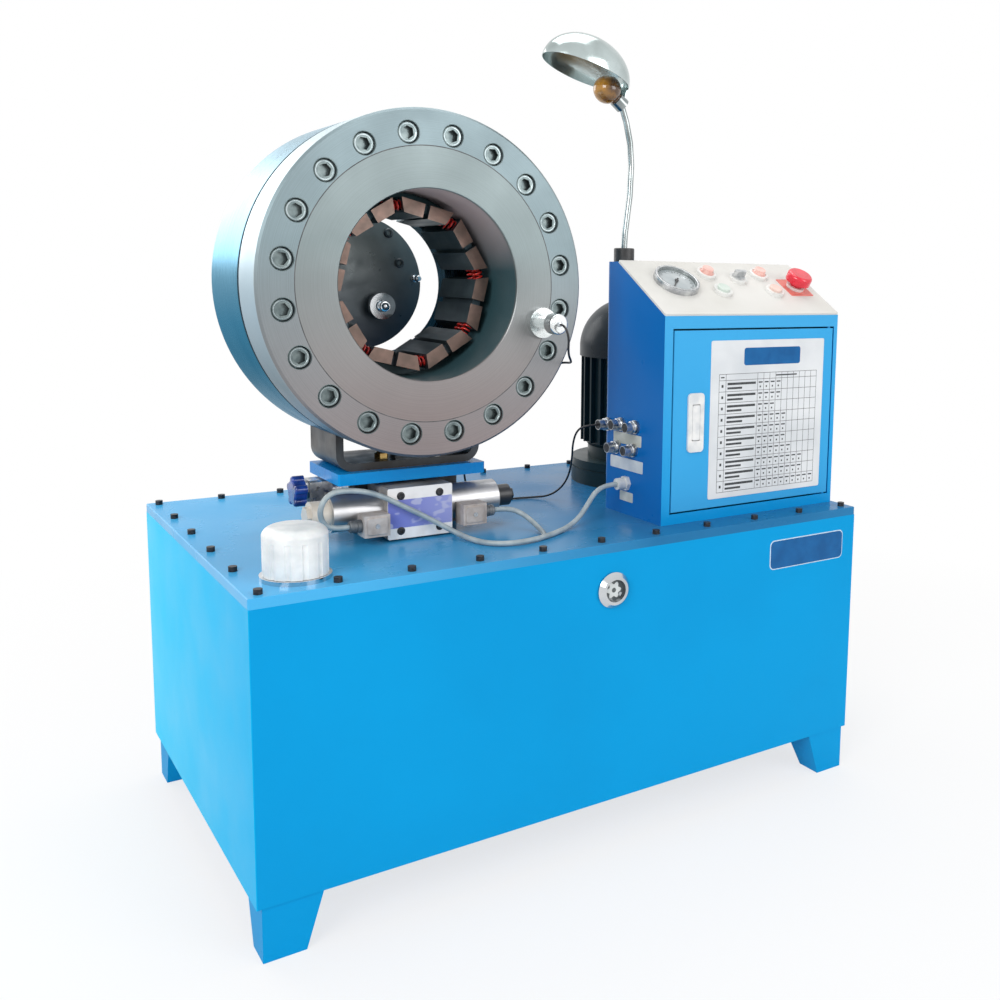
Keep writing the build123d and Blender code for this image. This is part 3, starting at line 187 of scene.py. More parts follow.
def place_of(made, centre=(0, 0, 0)):
    """X, Y and Z on the object, measured from a centre, as three sockets."""
    tree = made.node_tree
    where = tree.nodes.new("ShaderNodeTexCoord")
    shift = tree.nodes.new("ShaderNodeVectorMath")
    shift.operation = "SUBTRACT"
    shift.inputs[1].default_value = centre
    parts = tree.nodes.new("ShaderNodeSeparateXYZ")
    tree.links.new(where.outputs["Object"], shift.inputs[0])
    tree.links.new(shift.outputs[0], parts.inputs[0])
    return parts.outputs


def facing(made):
    """X, Y and Z of the surface's normal, as three sockets."""
    tree = made.node_tree
    parts = tree.nodes.new("ShaderNodeSeparateXYZ")
    tree.links.new(tree.nodes.new("ShaderNodeNewGeometry").outputs["Normal"], parts.inputs[0])
    return parts.outputs


def length_of(tree, first, second):
    """Length of the two sides of a right angle taken together."""
    squares = calc(tree, "ADD", calc(tree, "POWER", first, 2.0), calc(tree, "POWER", second, 2.0))
    return calc(tree, "SQRT", squares)


def mix(made, share, first, second):
    """A colour between two, each a colour or a socket, by a share from 0 to 1."""
    tree = made.node_tree
    node = tree.nodes.new("ShaderNodeMix")
    node.data_type = "RGBA"
    tree.links.new(share, node.inputs["Factor"])
    for socket, colour in ((node.inputs[6], first), (node.inputs[7], second)):
        if isinstance(colour, tuple):
            socket.default_value = (*colour, 1)
        else:
            tree.links.new(colour, socket)
    return node.outputs[2]


def paint(made, colour):
    """Puts a colour socket on the shader."""
    made.node_tree.links.new(colour, shader_of(made)["Base Color"])


def mottled(name, first, second, roughness, metallic=0.0, scale=60, detail=4, low=0.35, high=0.65, **sockets):
    """A finish whose colour wanders between two colours, in spots of a size set by the scale."""
    made = finish(name, second, roughness, metallic, **sockets)
    share = span(made.node_tree, grain(made, scale, detail=detail), low, high)
    paint(made, mix(made, share, first, second))
    return made


def gloss(made, low, high, *grained, **detailed):
    """Roughness that wanders from low to high; the rest says what the grain is like."""
    rough = span(made.node_tree, grain(made, *grained, **detailed), 0.3, 0.7, low, high)
    made.node_tree.links.new(rough, shader_of(made)["Roughness"])


def relief(made, pattern, strength, distance):
    """Bump of a height in metres from a pattern."""
    tree = made.node_tree
    bump = tree.nodes.new("ShaderNodeBump")
    bump.inputs["Strength"].default_value = strength
    bump.inputs["Distance"].default_value = distance
    tree.links.new(pattern, bump.inputs["Height"])
    tree.links.new(bump.outputs[0], shader_of(made)["Normal"])


def dress(made, *nodes):
    """Gives carried-over CAD nodes their material."""
    for node in nodes:
        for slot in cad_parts[node].material_slots:
            slot.material = made


def tone_of(made):
    """The colour that now goes into a material."""
    return shader_of(made)["Base Color"].links[0].from_socket


def enamel(name, colour, shade, roughness=0.3, slow=2.6, specular=0.14):
    """Sprayed gloss enamel: slow change of tone, fine orange peel and uneven gloss."""
    made = mottled(name, shade, colour, roughness, scale=slow, detail=6, low=0.25, high=0.6,
                   Specular_IOR_Level=specular)
    gloss(made, roughness - 0.05, roughness + 0.1, 9, detail=6)
    relief(made, grain(made, 420, detail=2), 0.1, 0.0003)
    return made


def settle(name, data, made, body="frame"):
    """Puts a mesh or a curve in the scene with its material, riding on its body."""
    data.materials.append(made)
    piece = bpy.data.objects.new(name, data)
    bpy.context.scene.collection.objects.link(piece)
    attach(piece, body)
    return piece


def surface(name, grid, made, body="frame", smooth=35):
    """A mesh in millimetres from a grid of points: each four neighbours make a face, the last
    column is joined to the first, and points that meet at a pole are merged."""
    rows, columns = grid.shape[:2]
    index = np.arange(rows * columns).reshape(rows, columns)
    index = np.hstack([index, index[:, :1]])
    quads = np.stack([index[:-1, :-1], index[:-1, 1:], index[1:, 1:], index[1:, :-1]], axis=-1)
    mesh = bpy.data.meshes.new(name)
    mesh.from_pydata(grid.reshape(-1, 3) / 1000, [], quads.reshape(-1, 4).tolist())
    work = bmesh.new()
    work.from_mesh(mesh)
    bmesh.ops.remove_doubles(work, verts=work.verts, dist=1e-7)
    bmesh.ops.recalc_face_normals(work, faces=work.faces)
    work.to_mesh(mesh)
    work.free()
    mesh.shade_smooth()
    mesh.set_sharp_from_angle(angle=math.radians(smooth))
    piece = settle(name, mesh, made, body)
    return piece


def lathe(name, profile, centre, along, made, steps=48, body="frame"):
    """A turned form: each (radius, height) of the profile goes round the axis through centre."""
    profile = np.array(profile, float)
    axis = Vector(along).normalized()
    side = axis.orthogonal().normalized()
    turn = np.linspace(0, 2 * np.pi, steps, endpoint=False)
    ring = np.outer(np.cos(turn), side) + np.outer(np.sin(turn), axis.cross(side))
    grid = centre + profile[:, None, :1] * ring[None] + profile[:, None, 1:] * np.array(axis)
    return surface(name, grid, made, body)


def rounded(size, corner, inset=0.0, steps=7):
    """A rectangle with round corners: four quarter circles, drawn in by an inset."""
    quarter = np.linspace(0, np.pi / 2, steps)
    turn = (quarter[None] + np.arange(4)[:, None] * np.pi / 2).ravel()
    signs = np.repeat([(1, 1), (-1, 1), (-1, -1), (1, -1)], steps, axis=0)
    return (signs * (np.array(size) / 2 - corner)
            + (corner - inset) * np.stack([np.cos(turn), np.sin(turn)], axis=1))


def slab(name, middle, across, up, size, corner, thick, made, edge=0.25, body="frame"):
    """A flat plate: the rounded outline at the back, up its side, drawn in at the front edge, and
    closed to its middle at both ends."""
    out = np.cross(across, up)
    rows = []
    for inset, lift, share in ((0, 0, 0), (0, 0, 1), (0, thick - edge, 1), (edge, thick, 1), (0, thick, 0)):
        flat = rounded(size, corner, inset) * share
        rows.append(middle + flat[:, :1] * across + flat[:, 1:] * up + lift * out)
    return surface(name, np.array(rows), made, body, smooth=30)


def boxes(name, corners, made, body="frame"):
    """Boxes in one mesh: eight corners each, four at the foot and then the four above them."""
    sides = np.array([(3, 2, 1, 0), (4, 5, 6, 7), (0, 1, 5, 4), (1, 2, 6, 5), (2, 3, 7, 6), (3, 0, 4, 7)])
    faces = (np.arange(len(corners))[:, None, None] * 8 + sides[None]).reshape(-1, 4)
    mesh = bpy.data.meshes.new(name)
    mesh.from_pydata(corners.reshape(-1, 3) / 1000, [], faces.tolist())
    settle(name, mesh, made, body)


def bars(name, middle, across, up, marks, lift, thick, made, body="frame"):
    """Thin printed or pressed marks: one flat box for each (left, right, low, high) in millimetres
    from the middle, all in one mesh."""
    marks = np.array(marks, float)
    out = np.cross(across, up)
    u = marks[:, [0, 1, 1, 0, 0, 1, 1, 0]]
    v = marks[:, [2, 2, 3, 3, 2, 2, 3, 3]]
    w = lift + np.array([0, 0, 0, 0, 1, 1, 1, 1]) * thick
    corners = middle + u[..., None] * across + v[..., None] * up + w[None, :, None] * out
    boxes(name, corners, made, body)


RIGHT, UP, FORWARD = (1, 0, 0), (0, 0, 1), (0, -1, 0)
tank_left, tank_front, lid_top = -455, -271, 420
tank_blue = enamel("tank_enamel", (0.001, 0.325, 0.69), (0.001, 0.285, 0.62), 0.38, specular=0.07)
lid_blue = finish("lid_enamel", (0.03, 0.25, 0.5), 0.2, Specular_IOR_Level=0.1)
# painted light and shade on the lid: light at its left end, deep by the cabinet
painted_light_along_lid = span(lid_blue.node_tree, place_of(lid_blue)[0], -0.36, 0.08)
lid_painted_light_tone = mix(lid_blue, painted_light_along_lid, (0.07, 0.44, 0.8), (0.015, 0.15, 0.34))
duller = span(lid_blue.node_tree, grain(lid_blue, 4, detail=6), 0.35, 0.7, 0.0, 0.35)
paint(lid_blue, mix(lid_blue, duller, lid_painted_light_tone, (0.05, 0.3, 0.58)))
gloss(lid_blue, 0.16, 0.36, 8, detail=6)
relief(lid_blue, grain(lid_blue, 420, detail=2), 0.1, 0.0003)
black_steel = mottled("blackened_screw_steel", (0.018, 0.019, 0.022), (0.05, 0.052, 0.058), 0.42, 0.6,
                      scale=300)
# painted light on the left end face: lighter and more cyan than the rest, brightest towards the back
from_left = place_of(tank_blue, (tank_left / 1000, 0, 0))[0]
left_face_painted_light = span(tank_blue.node_tree, from_left, 0.0015, 0.0002)
painted_light_along_end = span(tank_blue.node_tree, place_of(tank_blue)[1], 0.26, -0.26)
painted_light_end_tone = mix(tank_blue, painted_light_along_end, (0.02, 0.62, 0.97), (0.001, 0.44, 0.8))
paint(tank_blue, mix(tank_blue, left_face_painted_light, tone_of(tank_blue), painted_light_end_tone))
dress(tank_blue, "tank_body")
dress(lid_blue, "tank_lid")
dress(black_steel, "lid_bolts")

# bare name plate place on the front, right: a plain navy enamelled plate with a pale border line
navy_enamel = mottled("navy_plate_enamel", (0.003, 0.09, 0.27), (0.006, 0.12, 0.34), 0.35, scale=40,
                      Specular_IOR_Level=0.2)
pale_line = mottled("pale_border_paint", (0.48, 0.62, 0.76), (0.6, 0.72, 0.82), 0.4, scale=200)
plate_x, plate_z = 357, 365.5
slab("name_plate_border", (plate_x, tank_front, plate_z), RIGHT, UP, (148, 44), 8, 0.5, pale_line)
slab("name_plate", (plate_x, tank_front - 0.45, plate_z), RIGHT, UP, (145, 41), 7, 0.5, navy_enamel)

# ---- sight glass --------------------------------------------------------------------------------
# Chromed threaded ring with a glass window; behind the glass lies a pressed reflector whose six
# lobes show bright when the tank is filled.
chrome = mottled("polished_chrome", (0.5, 0.53, 0.56), (0.68, 0.7, 0.72), 0.09, 1.0, scale=12)
gloss(chrome, 0.06, 0.16, 30)
dress(chrome, "sight_glass_ring")
window = finish("oil_window", (0.5, 0.5, 0.5), 0.12, 0.0, Coat_Weight=1.0, Coat_Roughness=0.03)
glass = place_of(window, (0.009, 0, 0.358))
tree = window.node_tree
reach = length_of(tree, glass[0], glass[2])
lobes = calc(tree, "COSINE", calc(tree, "MULTIPLY", calc(tree, "ARCTAN2", glass[2], glass[0]), 6.0))
edge_of_star = calc(tree, "ADD", calc(tree, "MULTIPLY", lobes, 0.0019), 0.0098)
star = span(tree, calc(tree, "SUBTRACT", edge_of_star, reach), -0.0004, 0.0004)
hub = span(tree, reach, 0.0028, 0.0036)
bright = calc(tree, "MULTIPLY", star, hub)
paint(window, mix(window, bright, (0.035, 0.05, 0.055), (0.62, 0.66, 0.66)))
dress(window, "sight_glass_lens")

# ---- breather -----------------------------------------------------------------------------------
# Moulded white filler cap with finger flutes, on a chromed collar with six small screw holes. The
# moulding lets a little light in.
moulded_white = mottled("breather_moulding", (0.66, 0.69, 0.7), (0.83, 0.84, 0.84), 0.35, scale=45, low=0.3,
                        high=0.6, Subsurface_Weight=0.05)
gloss(moulded_white, 0.28, 0.45, 60)
dress(moulded_white, "breather_cap")
dress(chrome, "breather_base")

# ---- crimping head ------------------------------------------------------------------------------
# Turned steel: a front flange with twenty socket screws, the gland ring let into it, and the
# barrel behind. Tool marks run round the axis, and painted reflection makes the oiled steel bluer
# above and browner below.
head_x, head_z, flange_front = -194, 750, -161
flange_back = flange_front + 70
AXIS = (head_x / 1000, 0.0, head_z / 1000)


def turned(name, upper, lower, roughness, pitch=900.0, strength=0.25, metallic=0.8):
    """Steel turned on the head's axis: fine rings from noise of radius plus depth, painted
    reflection that takes the colour from lower to upper with height, and slow smears that darken it
    a little."""
    made = finish(name, upper, roughness, metallic)
    tree = made.node_tree
    x, y, z = place_of(made, AXIS)
    radius = length_of(tree, x, z)
    rings = tree.nodes.new("ShaderNodeTexNoise")
    rings.noise_dimensions = "1D"
    rings.inputs["Scale"].default_value = pitch
    rings.inputs["Detail"].default_value = 3
    tree.links.new(calc(tree, "ADD", radius, y), rings.inputs["W"])
    # painted reflection: the colour goes from lower to upper with height
    height = mix(made, span(tree, z, -0.2, 0.05), lower, upper)
    smear = span(tree, grain(made, 7, detail=5), 0.3, 0.7)
    lined = span(tree, rings.outputs["Fac"], 0.3, 0.7, 0.92, 1.08)
    worn = tree.nodes.new("ShaderNodeVectorMath")
    worn.operation = "SCALE"
    tree.links.new(height, worn.inputs[0])
    shade = calc(tree, "SUBTRACT", lined, calc(tree, "MULTIPLY", smear, 0.1))
    tree.links.new(shade, worn.inputs["Scale"])
    paint(made, worn.outputs[0])
    rough = calc(tree, "ADD", span(tree, rings.outputs["Fac"], 0.3, 0.7, -0.05, 0.07),
                 span(tree, grain(made, 14), 0.3, 0.7, roughness - 0.03, roughness + 0.06))
    tree.links.new(rough, shader_of(made)["Roughness"])
    relief(made, rings.outputs["Fac"], strength, 0.0002)
    return made


def by_height(made, *stops):
    """A colour that runs through the stops, each a height above the head's axis and a colour."""
    z = place_of(made, AXIS)[2]
    tone = stops[0][1]
    for (low, _), (high, above) in zip(stops, stops[1:]):
        tone = mix(made, span(made.node_tree, z, low, high), tone, above)
    return tone


face_steel = turned("turned_face_steel", (0.205, 0.265, 0.285), (0.25, 0.215, 0.215), 0.4)
barrel_steel = turned("bright_barrel_steel", (0.5, 0.6, 0.66), (0.3, 0.4, 0.5), 0.26, 500, 0.03, 1.0)
bore_steel = turned("oiled_bore_steel", (0.03, 0.065, 0.075), (0.05, 0.06, 0.065), 0.36, 700)
past_flange = place_of(barrel_steel, (0, flange_back / 1000, 0))[1]
clear_of_joint = span(barrel_steel.node_tree, past_flange, 0.003, 0.0065)
# painted reflection on the barrel: bright above, darkest low down, a little lighter at the very bottom; its
# edge tint is paler above and bluer below
barrel_painted_reflection = by_height(barrel_steel, (-0.19, (0.22, 0.3, 0.36)), (-0.13, (0.03, 0.09, 0.15)),
                        (-0.05, (0.07, 0.2, 0.32)), (0.03, (0.25, 0.41, 0.52)), (0.12, (0.5, 0.62, 0.68)))
painted_reflection_edge_tint = by_height(barrel_steel, (-0.1, (0.3, 0.52, 0.66)), (0.0, (0.4, 0.6, 0.7)),
                      (0.12, (0.62, 0.74, 0.8)))
barrel_steel.node_tree.links.new(painted_reflection_edge_tint, shader_of(barrel_steel)["Specular Tint"])
barrel_smear = span(barrel_steel.node_tree, grain(barrel_steel, 6, detail=5), 0.35, 0.75, 0.0, 0.3)
barrel_painted_reflection = mix(barrel_steel, barrel_smear, barrel_painted_reflection, (0.2, 0.33, 0.43))
paint(barrel_steel, mix(barrel_steel, clear_of_joint, (0.035, 0.05, 0.065), barrel_painted_reflection))
# painted highlight on the flange's outer side: light above, dark below
behind_face = place_of(face_steel, (0, flange_front / 1000, 0))[1]
side_of_face = span(face_steel.node_tree, behind_face, 0.0025, 0.0045)
flange_side_painted_reflection = by_height(face_steel, (-0.19, (0.16, 0.2, 0.22)), (-0.12, (0.1, 0.17, 0.21)),
                      (-0.03, (0.3, 0.42, 0.5)), (0.1, (0.56, 0.68, 0.72)))
paint(face_steel, mix(face_steel, side_of_face, tone_of(face_steel), flange_side_painted_reflection))
dress(face_steel, "front_flange")
dress(barrel_steel, "barrel")
dress(bore_steel, "piston_ring")

# the gland ring is ground like the face; its mouth carries painted shade that deepens inwards, with
# painted light on its upper wall
gland_steel = turned("gland_ring_steel", (0.215, 0.26, 0.265), (0.25, 0.2, 0.195), 0.4)
tree = gland_steel.node_tree
gland = place_of(gland_steel, (AXIS[0], flange_front / 1000, AXIS[2]))
mouth_painted_shade = span(tree, gland[1], 0.0008, 0.006)
mouth_painted_light_and_shade = mix(gland_steel, span(tree, gland[2], 0.02, 0.11), (0.035, 0.085, 0.1), (0.55, 0.46, 0.47))
paint(gland_steel, mix(gland_steel, mouth_painted_shade, tone_of(gland_steel), mouth_painted_light_and_shade))
metal = calc(tree, "SUBTRACT", 0.8, calc(tree, "MULTIPLY", mouth_painted_shade, 0.75))
tree.links.new(metal, shader_of(gland_steel)["Metallic"])
dress(gland_steel, "gland_ring")

# joint between the two rings: a fine line of dirt and oil
seam_oil = mottled("seam_oil", (0.035, 0.037, 0.04), (0.09, 0.09, 0.09), 0.35)
lathe("face_seam", [(169.4, -0.02), (169.6, 0.10), (170.4, 0.10), (170.6, -0.02), (169.4, -0.02)],
      (head_x, flange_front, head_z), FORWARD, seam_oil, 160)

# socket screws: grey heads with a paler rim, painted shade inside the hexagon, in dark counterbores
screw_count, screw_circle, screw_front = 20, 186, flange_front + 3
screw_steel = finish("socket_screw_steel", (0.3, 0.32, 0.33), 0.32, 0.9)
tree = screw_steel.node_tree
well = place_of(screw_steel, (0, screw_front / 1000, 0))[1]
hex_painted_shade = calc(tree, "SUBTRACT", span(tree, well, 0.0006, 0.003), span(tree, well, 0.0076, 0.0079))
head_tone = mix(screw_steel, span(tree, grain(screw_steel, 120), 0.35, 0.65),
                (0.1, 0.13, 0.135), (0.19, 0.23, 0.23))
paint(screw_steel, mix(screw_steel, hex_painted_shade, head_tone, (0.02, 0.026, 0.028)))
dress(screw_steel, "flange_screws")
# paler steel on the rim of each screw head
edge_steel = mottled("pale_screw_rim_steel", (0.2, 0.25, 0.26), (0.36, 0.41, 0.42), 0.3, 0.9, scale=80)
gloss(edge_steel, 0.2, 0.4, 150)
sink_steel = mottled("counterbore_steel", (0.05, 0.075, 0.078), (0.14, 0.18, 0.18), 0.4, 0.8, scale=80)
for number in range(screw_count):
    turn = math.radians((number + 0.5) * 360 / screw_count)
    x, z = head_x + screw_circle * math.cos(turn), head_z + screw_circle * math.sin(turn)
    lathe(f"screw_rim_{number + 1}",
          [(9.6, -0.05), (9.9, 0.22), (11.2, 0.22), (11.9, -0.3), (9.6, -0.05)],
          (x, screw_front, z), FORWARD, edge_steel, 24)
    lathe(f"counterbore_edge_{number + 1}",
          [(13.5, 0.3), (13.62, 0.08), (14.3, 0.08), (14.45, -0.02), (13.5, -0.6)],
          (x, flange_front, z), FORWARD, sink_steel, 28)

# ---- jaws and their springs ---------------------------------------------------------------------
# Eight ground jaws, brown on their front ends and dark along their sides, with two red springs in
# each gap to part them; the real springs are squashed as the jaws close, but here each rides on one
# jaw and keeps its length.
jaw_steel = finish("ground_jaw_steel", (0.2, 0.2, 0.2), 0.38, 0.75)
tree = jaw_steel.node_tree
jaw_y, jaw_z = place_of(jaw_steel, AXIS)[1:]
front_end = calc(tree, "MULTIPLY", span(tree, facing(jaw_steel)[1], -0.5, -0.9),
                 span(tree, jaw_y, -0.090, -0.0925))
jaw_side = mix(jaw_steel, span(tree, jaw_z, -0.1, 0.08), (0.07, 0.08, 0.095), (0.03, 0.075, 0.095))
jaw_side = mix(jaw_steel, span(tree, grain(jaw_steel, 40, detail=6), 0.35, 0.75),
               jaw_side, (0.085, 0.12, 0.135))
jaw_tan = mix(jaw_steel, span(tree, grain(jaw_steel, 60, detail=5), 0.3, 0.7),
              (0.22, 0.145, 0.12), (0.13, 0.095, 0.08))
paint(jaw_steel, mix(jaw_steel, front_end, jaw_side, jaw_tan))
gloss(jaw_steel, 0.28, 0.46, 70, (1, 12, 1))
relief(jaw_steel, grain(jaw_steel, 500, (1, 14, 1), detail=3), 0.2, 0.0002)
jaw_count, first_jaw_turn, jaw_travel = 8, 31.5, 16
dress(jaw_steel, *(f"jaw_{number + 1}" for number in range(jaw_count)))

spring_red = mottled("spring_enamel", (0.42, 0.012, 0.01), (0.7, 0.03, 0.02), 0.32, scale=150,
                     Coat_Weight=0.4)
spring_circle, seat_depth, jaw_clearance = 102, 15.0, 0.2
gap_closes = jaw_travel * math.sin(math.pi / jaw_count)
spring_half = gap_closes + jaw_clearance + seat_depth


def coil_spring(name, middle, along, number):
    """A compression spring: a wire circle carried along an even helix about an axis, its ends
    closed to a point."""
    axis = Vector(along)
    side = axis.orthogonal().normalized()
    third = axis.cross(side)
    turns, wire, mean = 7.0, 1.25, 5.6
    t = np.linspace(0, 1, 141)
    rise = (2 * spring_half - 2 * wire) * (t - 0.5)
    angle = 2 * np.pi * turns * t
    out = np.outer(np.cos(angle), side) + np.outer(np.sin(angle), third)
    path = middle + mean * out + np.outer(rise, axis)
    ahead_of = np.gradient(path, axis=0)
    ahead_of /= np.linalg.norm(ahead_of, axis=1)[:, None]
    up_of = np.cross(ahead_of, out)
    turn = np.linspace(0, 2 * np.pi, 8, endpoint=False)
    grid = (path[:, None] + wire * (np.cos(turn)[None, :, None] * out[:, None]
                                    + np.sin(turn)[None, :, None] * up_of[:, None]))
    ends = np.repeat(path[[0, -1]][:, None], 8, axis=1)
    grid = np.vstack([ends[:1], grid, ends[1:]])
    return surface(name, grid, spring_red, f"jaw_{number}", smooth=60)


for number in range(jaw_count):
    gap = math.radians(first_jaw_turn + (number + 0.5) * 360 / jaw_count)
    out_of = (math.cos(gap), 0.0, math.sin(gap))
    across_gap = (-out_of[2], 0.0, out_of[0])
    for place, depth in enumerate((80.0, 98.0)):
        middle = (head_x + spring_circle * out_of[0], flange_front + depth,
                  head_z + spring_circle * out_of[2])
        spring = coil_spring(f"jaw_spring_{number + 1}_{place + 1}", middle, across_gap, number + 1)
        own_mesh(spring)
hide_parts("jaw_springs")

# ---- rear stop ----------------------------------------------------------------------------------
# Carrier disc of blackened, oily plate on two bars, with two socket screws, a small knob, and the
# chromed stop spindle with a ball at its middle.
carrier_steel = finish("oily_carrier_plate", (0.1, 0.12, 0.13), 0.34, 0.6)
# painted light on the carrier: lighter towards the top, darker below
carrier_painted_light = by_height(carrier_steel, (-0.06, (0.055, 0.065, 0.08)), (0.07, (0.19, 0.21, 0.205)))
carrier_smear = span(carrier_steel.node_tree, grain(carrier_steel, 22, detail=6), 0.4, 0.75, 0.0, 0.6)
paint(carrier_steel, mix(carrier_steel, carrier_smear, carrier_painted_light, (0.06, 0.075, 0.08)))
gloss(carrier_steel, 0.26, 0.46, 50, detail=5)
dress(carrier_steel, "stop_carrier")
dress(chrome, "stop_spindle")
carrier_front = 97.0


def screw_in_disc(name, x, z, radius):
    """Socket screw let into the carrier: domed rim, then the hexagon's well."""
    lathe(name, [(radius, -0.1), (radius, 1.6), (radius - 1.2, 2.6), (radius * 0.5, 2.6),
                 (radius * 0.46, -0.2), (0, -0.2)],
          (head_x + x, carrier_front, head_z + z), FORWARD, screw_black, 24)


screw_black = mottled("oily_black_screw", (0.025, 0.03, 0.033), (0.1, 0.11, 0.115), 0.3, 0.8, scale=150)
screw_in_disc("carrier_screw_1", 46, 72, 7)
screw_in_disc("carrier_screw_2", 62, 29, 7)
lathe("carrier_knob", [(0, 15), (3.5, 14.2), (5.2, 11.5), (5.2, 9), (3.4, 6.6), (2.4, 6), (2.4, 1.5),
                       (5.5, 1.5), (5.5, -0.2)],
      (head_x + 87, carrier_front, head_z + 7), FORWARD, chrome, 28)
lathe("spindle_ball",
      [(0, 15.0), (3.6, 14.2), (6.4, 12), (7.9, 9), (8.2, 6.5), (7.4, 3.5), (5, 1), (5, -0.2)],
      (head_x + 28, carrier_front - 22, head_z - 33), FORWARD, chrome, 36, "stop_spindle")

# ---- position sensor ----------------------------------------------------------------------------
# Chromed probe with a knurled knob, screwed into the front flange; the thin lead leaves its face.
# The knurl is straight: a fine wave round the knob's axis, held to the knob's length.
knurled = mottled("knurled_chrome", (0.66, 0.7, 0.7), (0.88, 0.9, 0.9), 0.2, 1.0, scale=20)
tree = knurled.node_tree
sensor_x, sensor_front, sensor_z = -40, -211, 703
knob_x, knob_y, knob_z = place_of(knurled, (sensor_x / 1000, 0, sensor_z / 1000))
ribs = calc(tree, "SINE", calc(tree, "MULTIPLY", calc(tree, "ARCTAN2", knob_z, knob_x), 48.0))
on_knob = calc(tree, "MULTIPLY", span(tree, knob_y, -0.194, -0.195),
               span(tree, knob_y, -0.2065, -0.2055))
relief(knurled, calc(tree, "MULTIPLY", ribs, on_knob), 0.06, 0.0002)
dress(knurled, "sensor_probe")
lathe("sensor_lead_nut", [(0, 2.4), (2.0, 2.4), (3.4, 1.6), (3.4, -0.3)],
      (sensor_x, sensor_front, sensor_z), FORWARD, chrome, 24)

# ---- stand of the head --------------------------------------------------------------------------
# Bright blue plate on the valve block, and the dark bent bracket that the barrel sits in, with
# brass and plated oil fittings between its walls and a plated bolt in the plate's corner.
plate_blue = enamel("plate_enamel", (0.003, 0.30, 0.72), (0.002, 0.13, 0.5), 0.26, 5.0)
bracket_black = mottled("bracket_paint", (0.02, 0.018, 0.017), (0.05, 0.06, 0.07), 0.4, 0.2, scale=18,
                        detail=6)
gloss(bracket_black, 0.3, 0.5, 40)
block_steel = mottled("phosphated_block", (0.03, 0.033, 0.037), (0.1, 0.105, 0.11), 0.45, 0.7, scale=30,
                      detail=5)
dress(plate_blue, "mounting_plate")
dress(bracket_black, "head_saddle")
dress(block_steel, "manifold_block")
brass = mottled("oil_fitting_brass", (0.35, 0.22, 0.08), (0.62, 0.44, 0.17), 0.25, 1.0)
zinc = mottled("zinc_plate", (0.38, 0.39, 0.41), (0.6, 0.61, 0.61), 0.3, 1.0, scale=90, detail=5)
gloss(zinc, 0.22, 0.42, 110)


def fitting(name, x, y, made, foot=521.5):
    """Screwed oil fitting: a profile carried round six corners, wide at the foot, narrower above."""
    sides = np.linspace(0, 2 * np.pi, 6, endpoint=False)
    profile = np.array([(0, 0), (9.5, 0), (9.5, 7.5), (7.2, 8.0), (6.2, 9), (6.2, 12.5), (0, 12.5)])
    ring = np.stack([np.cos(sides), np.sin(sides), 0 * sides], axis=1)
    grid = (x, y, foot) + profile[:, None, :1] * ring[None] + profile[:, None, 1:] * np.array(UP)
    surface(name, grid, made, smooth=20)


fitting("oil_fitting_1", head_x - 32, -66, brass)
fitting("oil_fitting_2", head_x + 44, -66, zinc)
fitting("oil_fitting_3", head_x, -40, zinc)
lathe("plate_bolt", [(0, -4.4), (4.6, -4.4), (5, -3.8), (5, 0.2), (0, 0.2)],
      (head_x - 90, -94, 495.8), UP, zinc, 6)

# ---- directional valve --------------------------------------------------------------------------
# Cast valve body, cream above and below a plain violet label band, with four sunk screws, a turned
# solenoid on each end, the right one with a black cap, and two moulded plugs.
valve_paint = mottled("valve_body_paint", (0.74, 0.7, 0.67), (0.9, 0.87, 0.85), 0.38, scale=35, detail=5,
                      low=0.25, high=0.5, Coat_Weight=0.1)
tree = valve_paint.node_tree
# painted shade: faces turned away from the front are darker and greyer than the cream front
to_front = span(tree, facing(valve_paint)[1], -0.6, -0.9)
valve_painted_shade_tone = mix(valve_paint, span(tree, grain(valve_paint, 25), 0.35, 0.65),
                (0.22, 0.2, 0.18), (0.42, 0.4, 0.38))
paint(valve_paint, mix(valve_paint, to_front, valve_painted_shade_tone, tone_of(valve_paint)))
dress(valve_paint, "valve_body")
label_violet = finish("valve_label_print", (0.2, 0.24, 0.6), 0.3, Coat_Weight=0.3)
along_label = span(label_violet.node_tree, place_of(label_violet, AXIS)[0], -0.045, 0.045)
label_tone = mix(label_violet, along_label, (0.13, 0.16, 0.55), (0.3, 0.33, 0.66))
pale_patch = span(label_violet.node_tree, grain(label_violet, 55, (1, 1, 0.55), detail=1), 0.52, 0.6)
paint(label_violet, mix(label_violet, pale_patch, label_tone, (0.42, 0.44, 0.68)))
valve_front, valve_z, plug_front, plug_z = -119, 456, -133, 447
slab("valve_label", (head_x, valve_front, valve_z), RIGHT, UP, (89, 37), 1.2, 0.3, label_violet,
     0.1)
sunk_black = mottled("sunk_screw_black", (0.012, 0.012, 0.014), (0.05, 0.05, 0.055), 0.4, 0.5, scale=200)
for number, (x, z) in enumerate(((-27, 23), (27, 23), (-27, -23), (27, -23))):
    lathe(f"valve_screw_{number + 1}",
          [(5.3, 0.1), (5.3, 0.5), (4.6, 0.9), (2.6, 0.9), (2.3, -0.5), (0, -0.5)],
          (head_x + x, valve_front, valve_z + 0.5 + z), FORWARD, sunk_black, 20)
valve_steel = mottled("spool_steel", (0.3, 0.31, 0.33), (0.46, 0.47, 0.48), 0.25, 1.0, scale=90)
dress(valve_steel, "valve_spool")

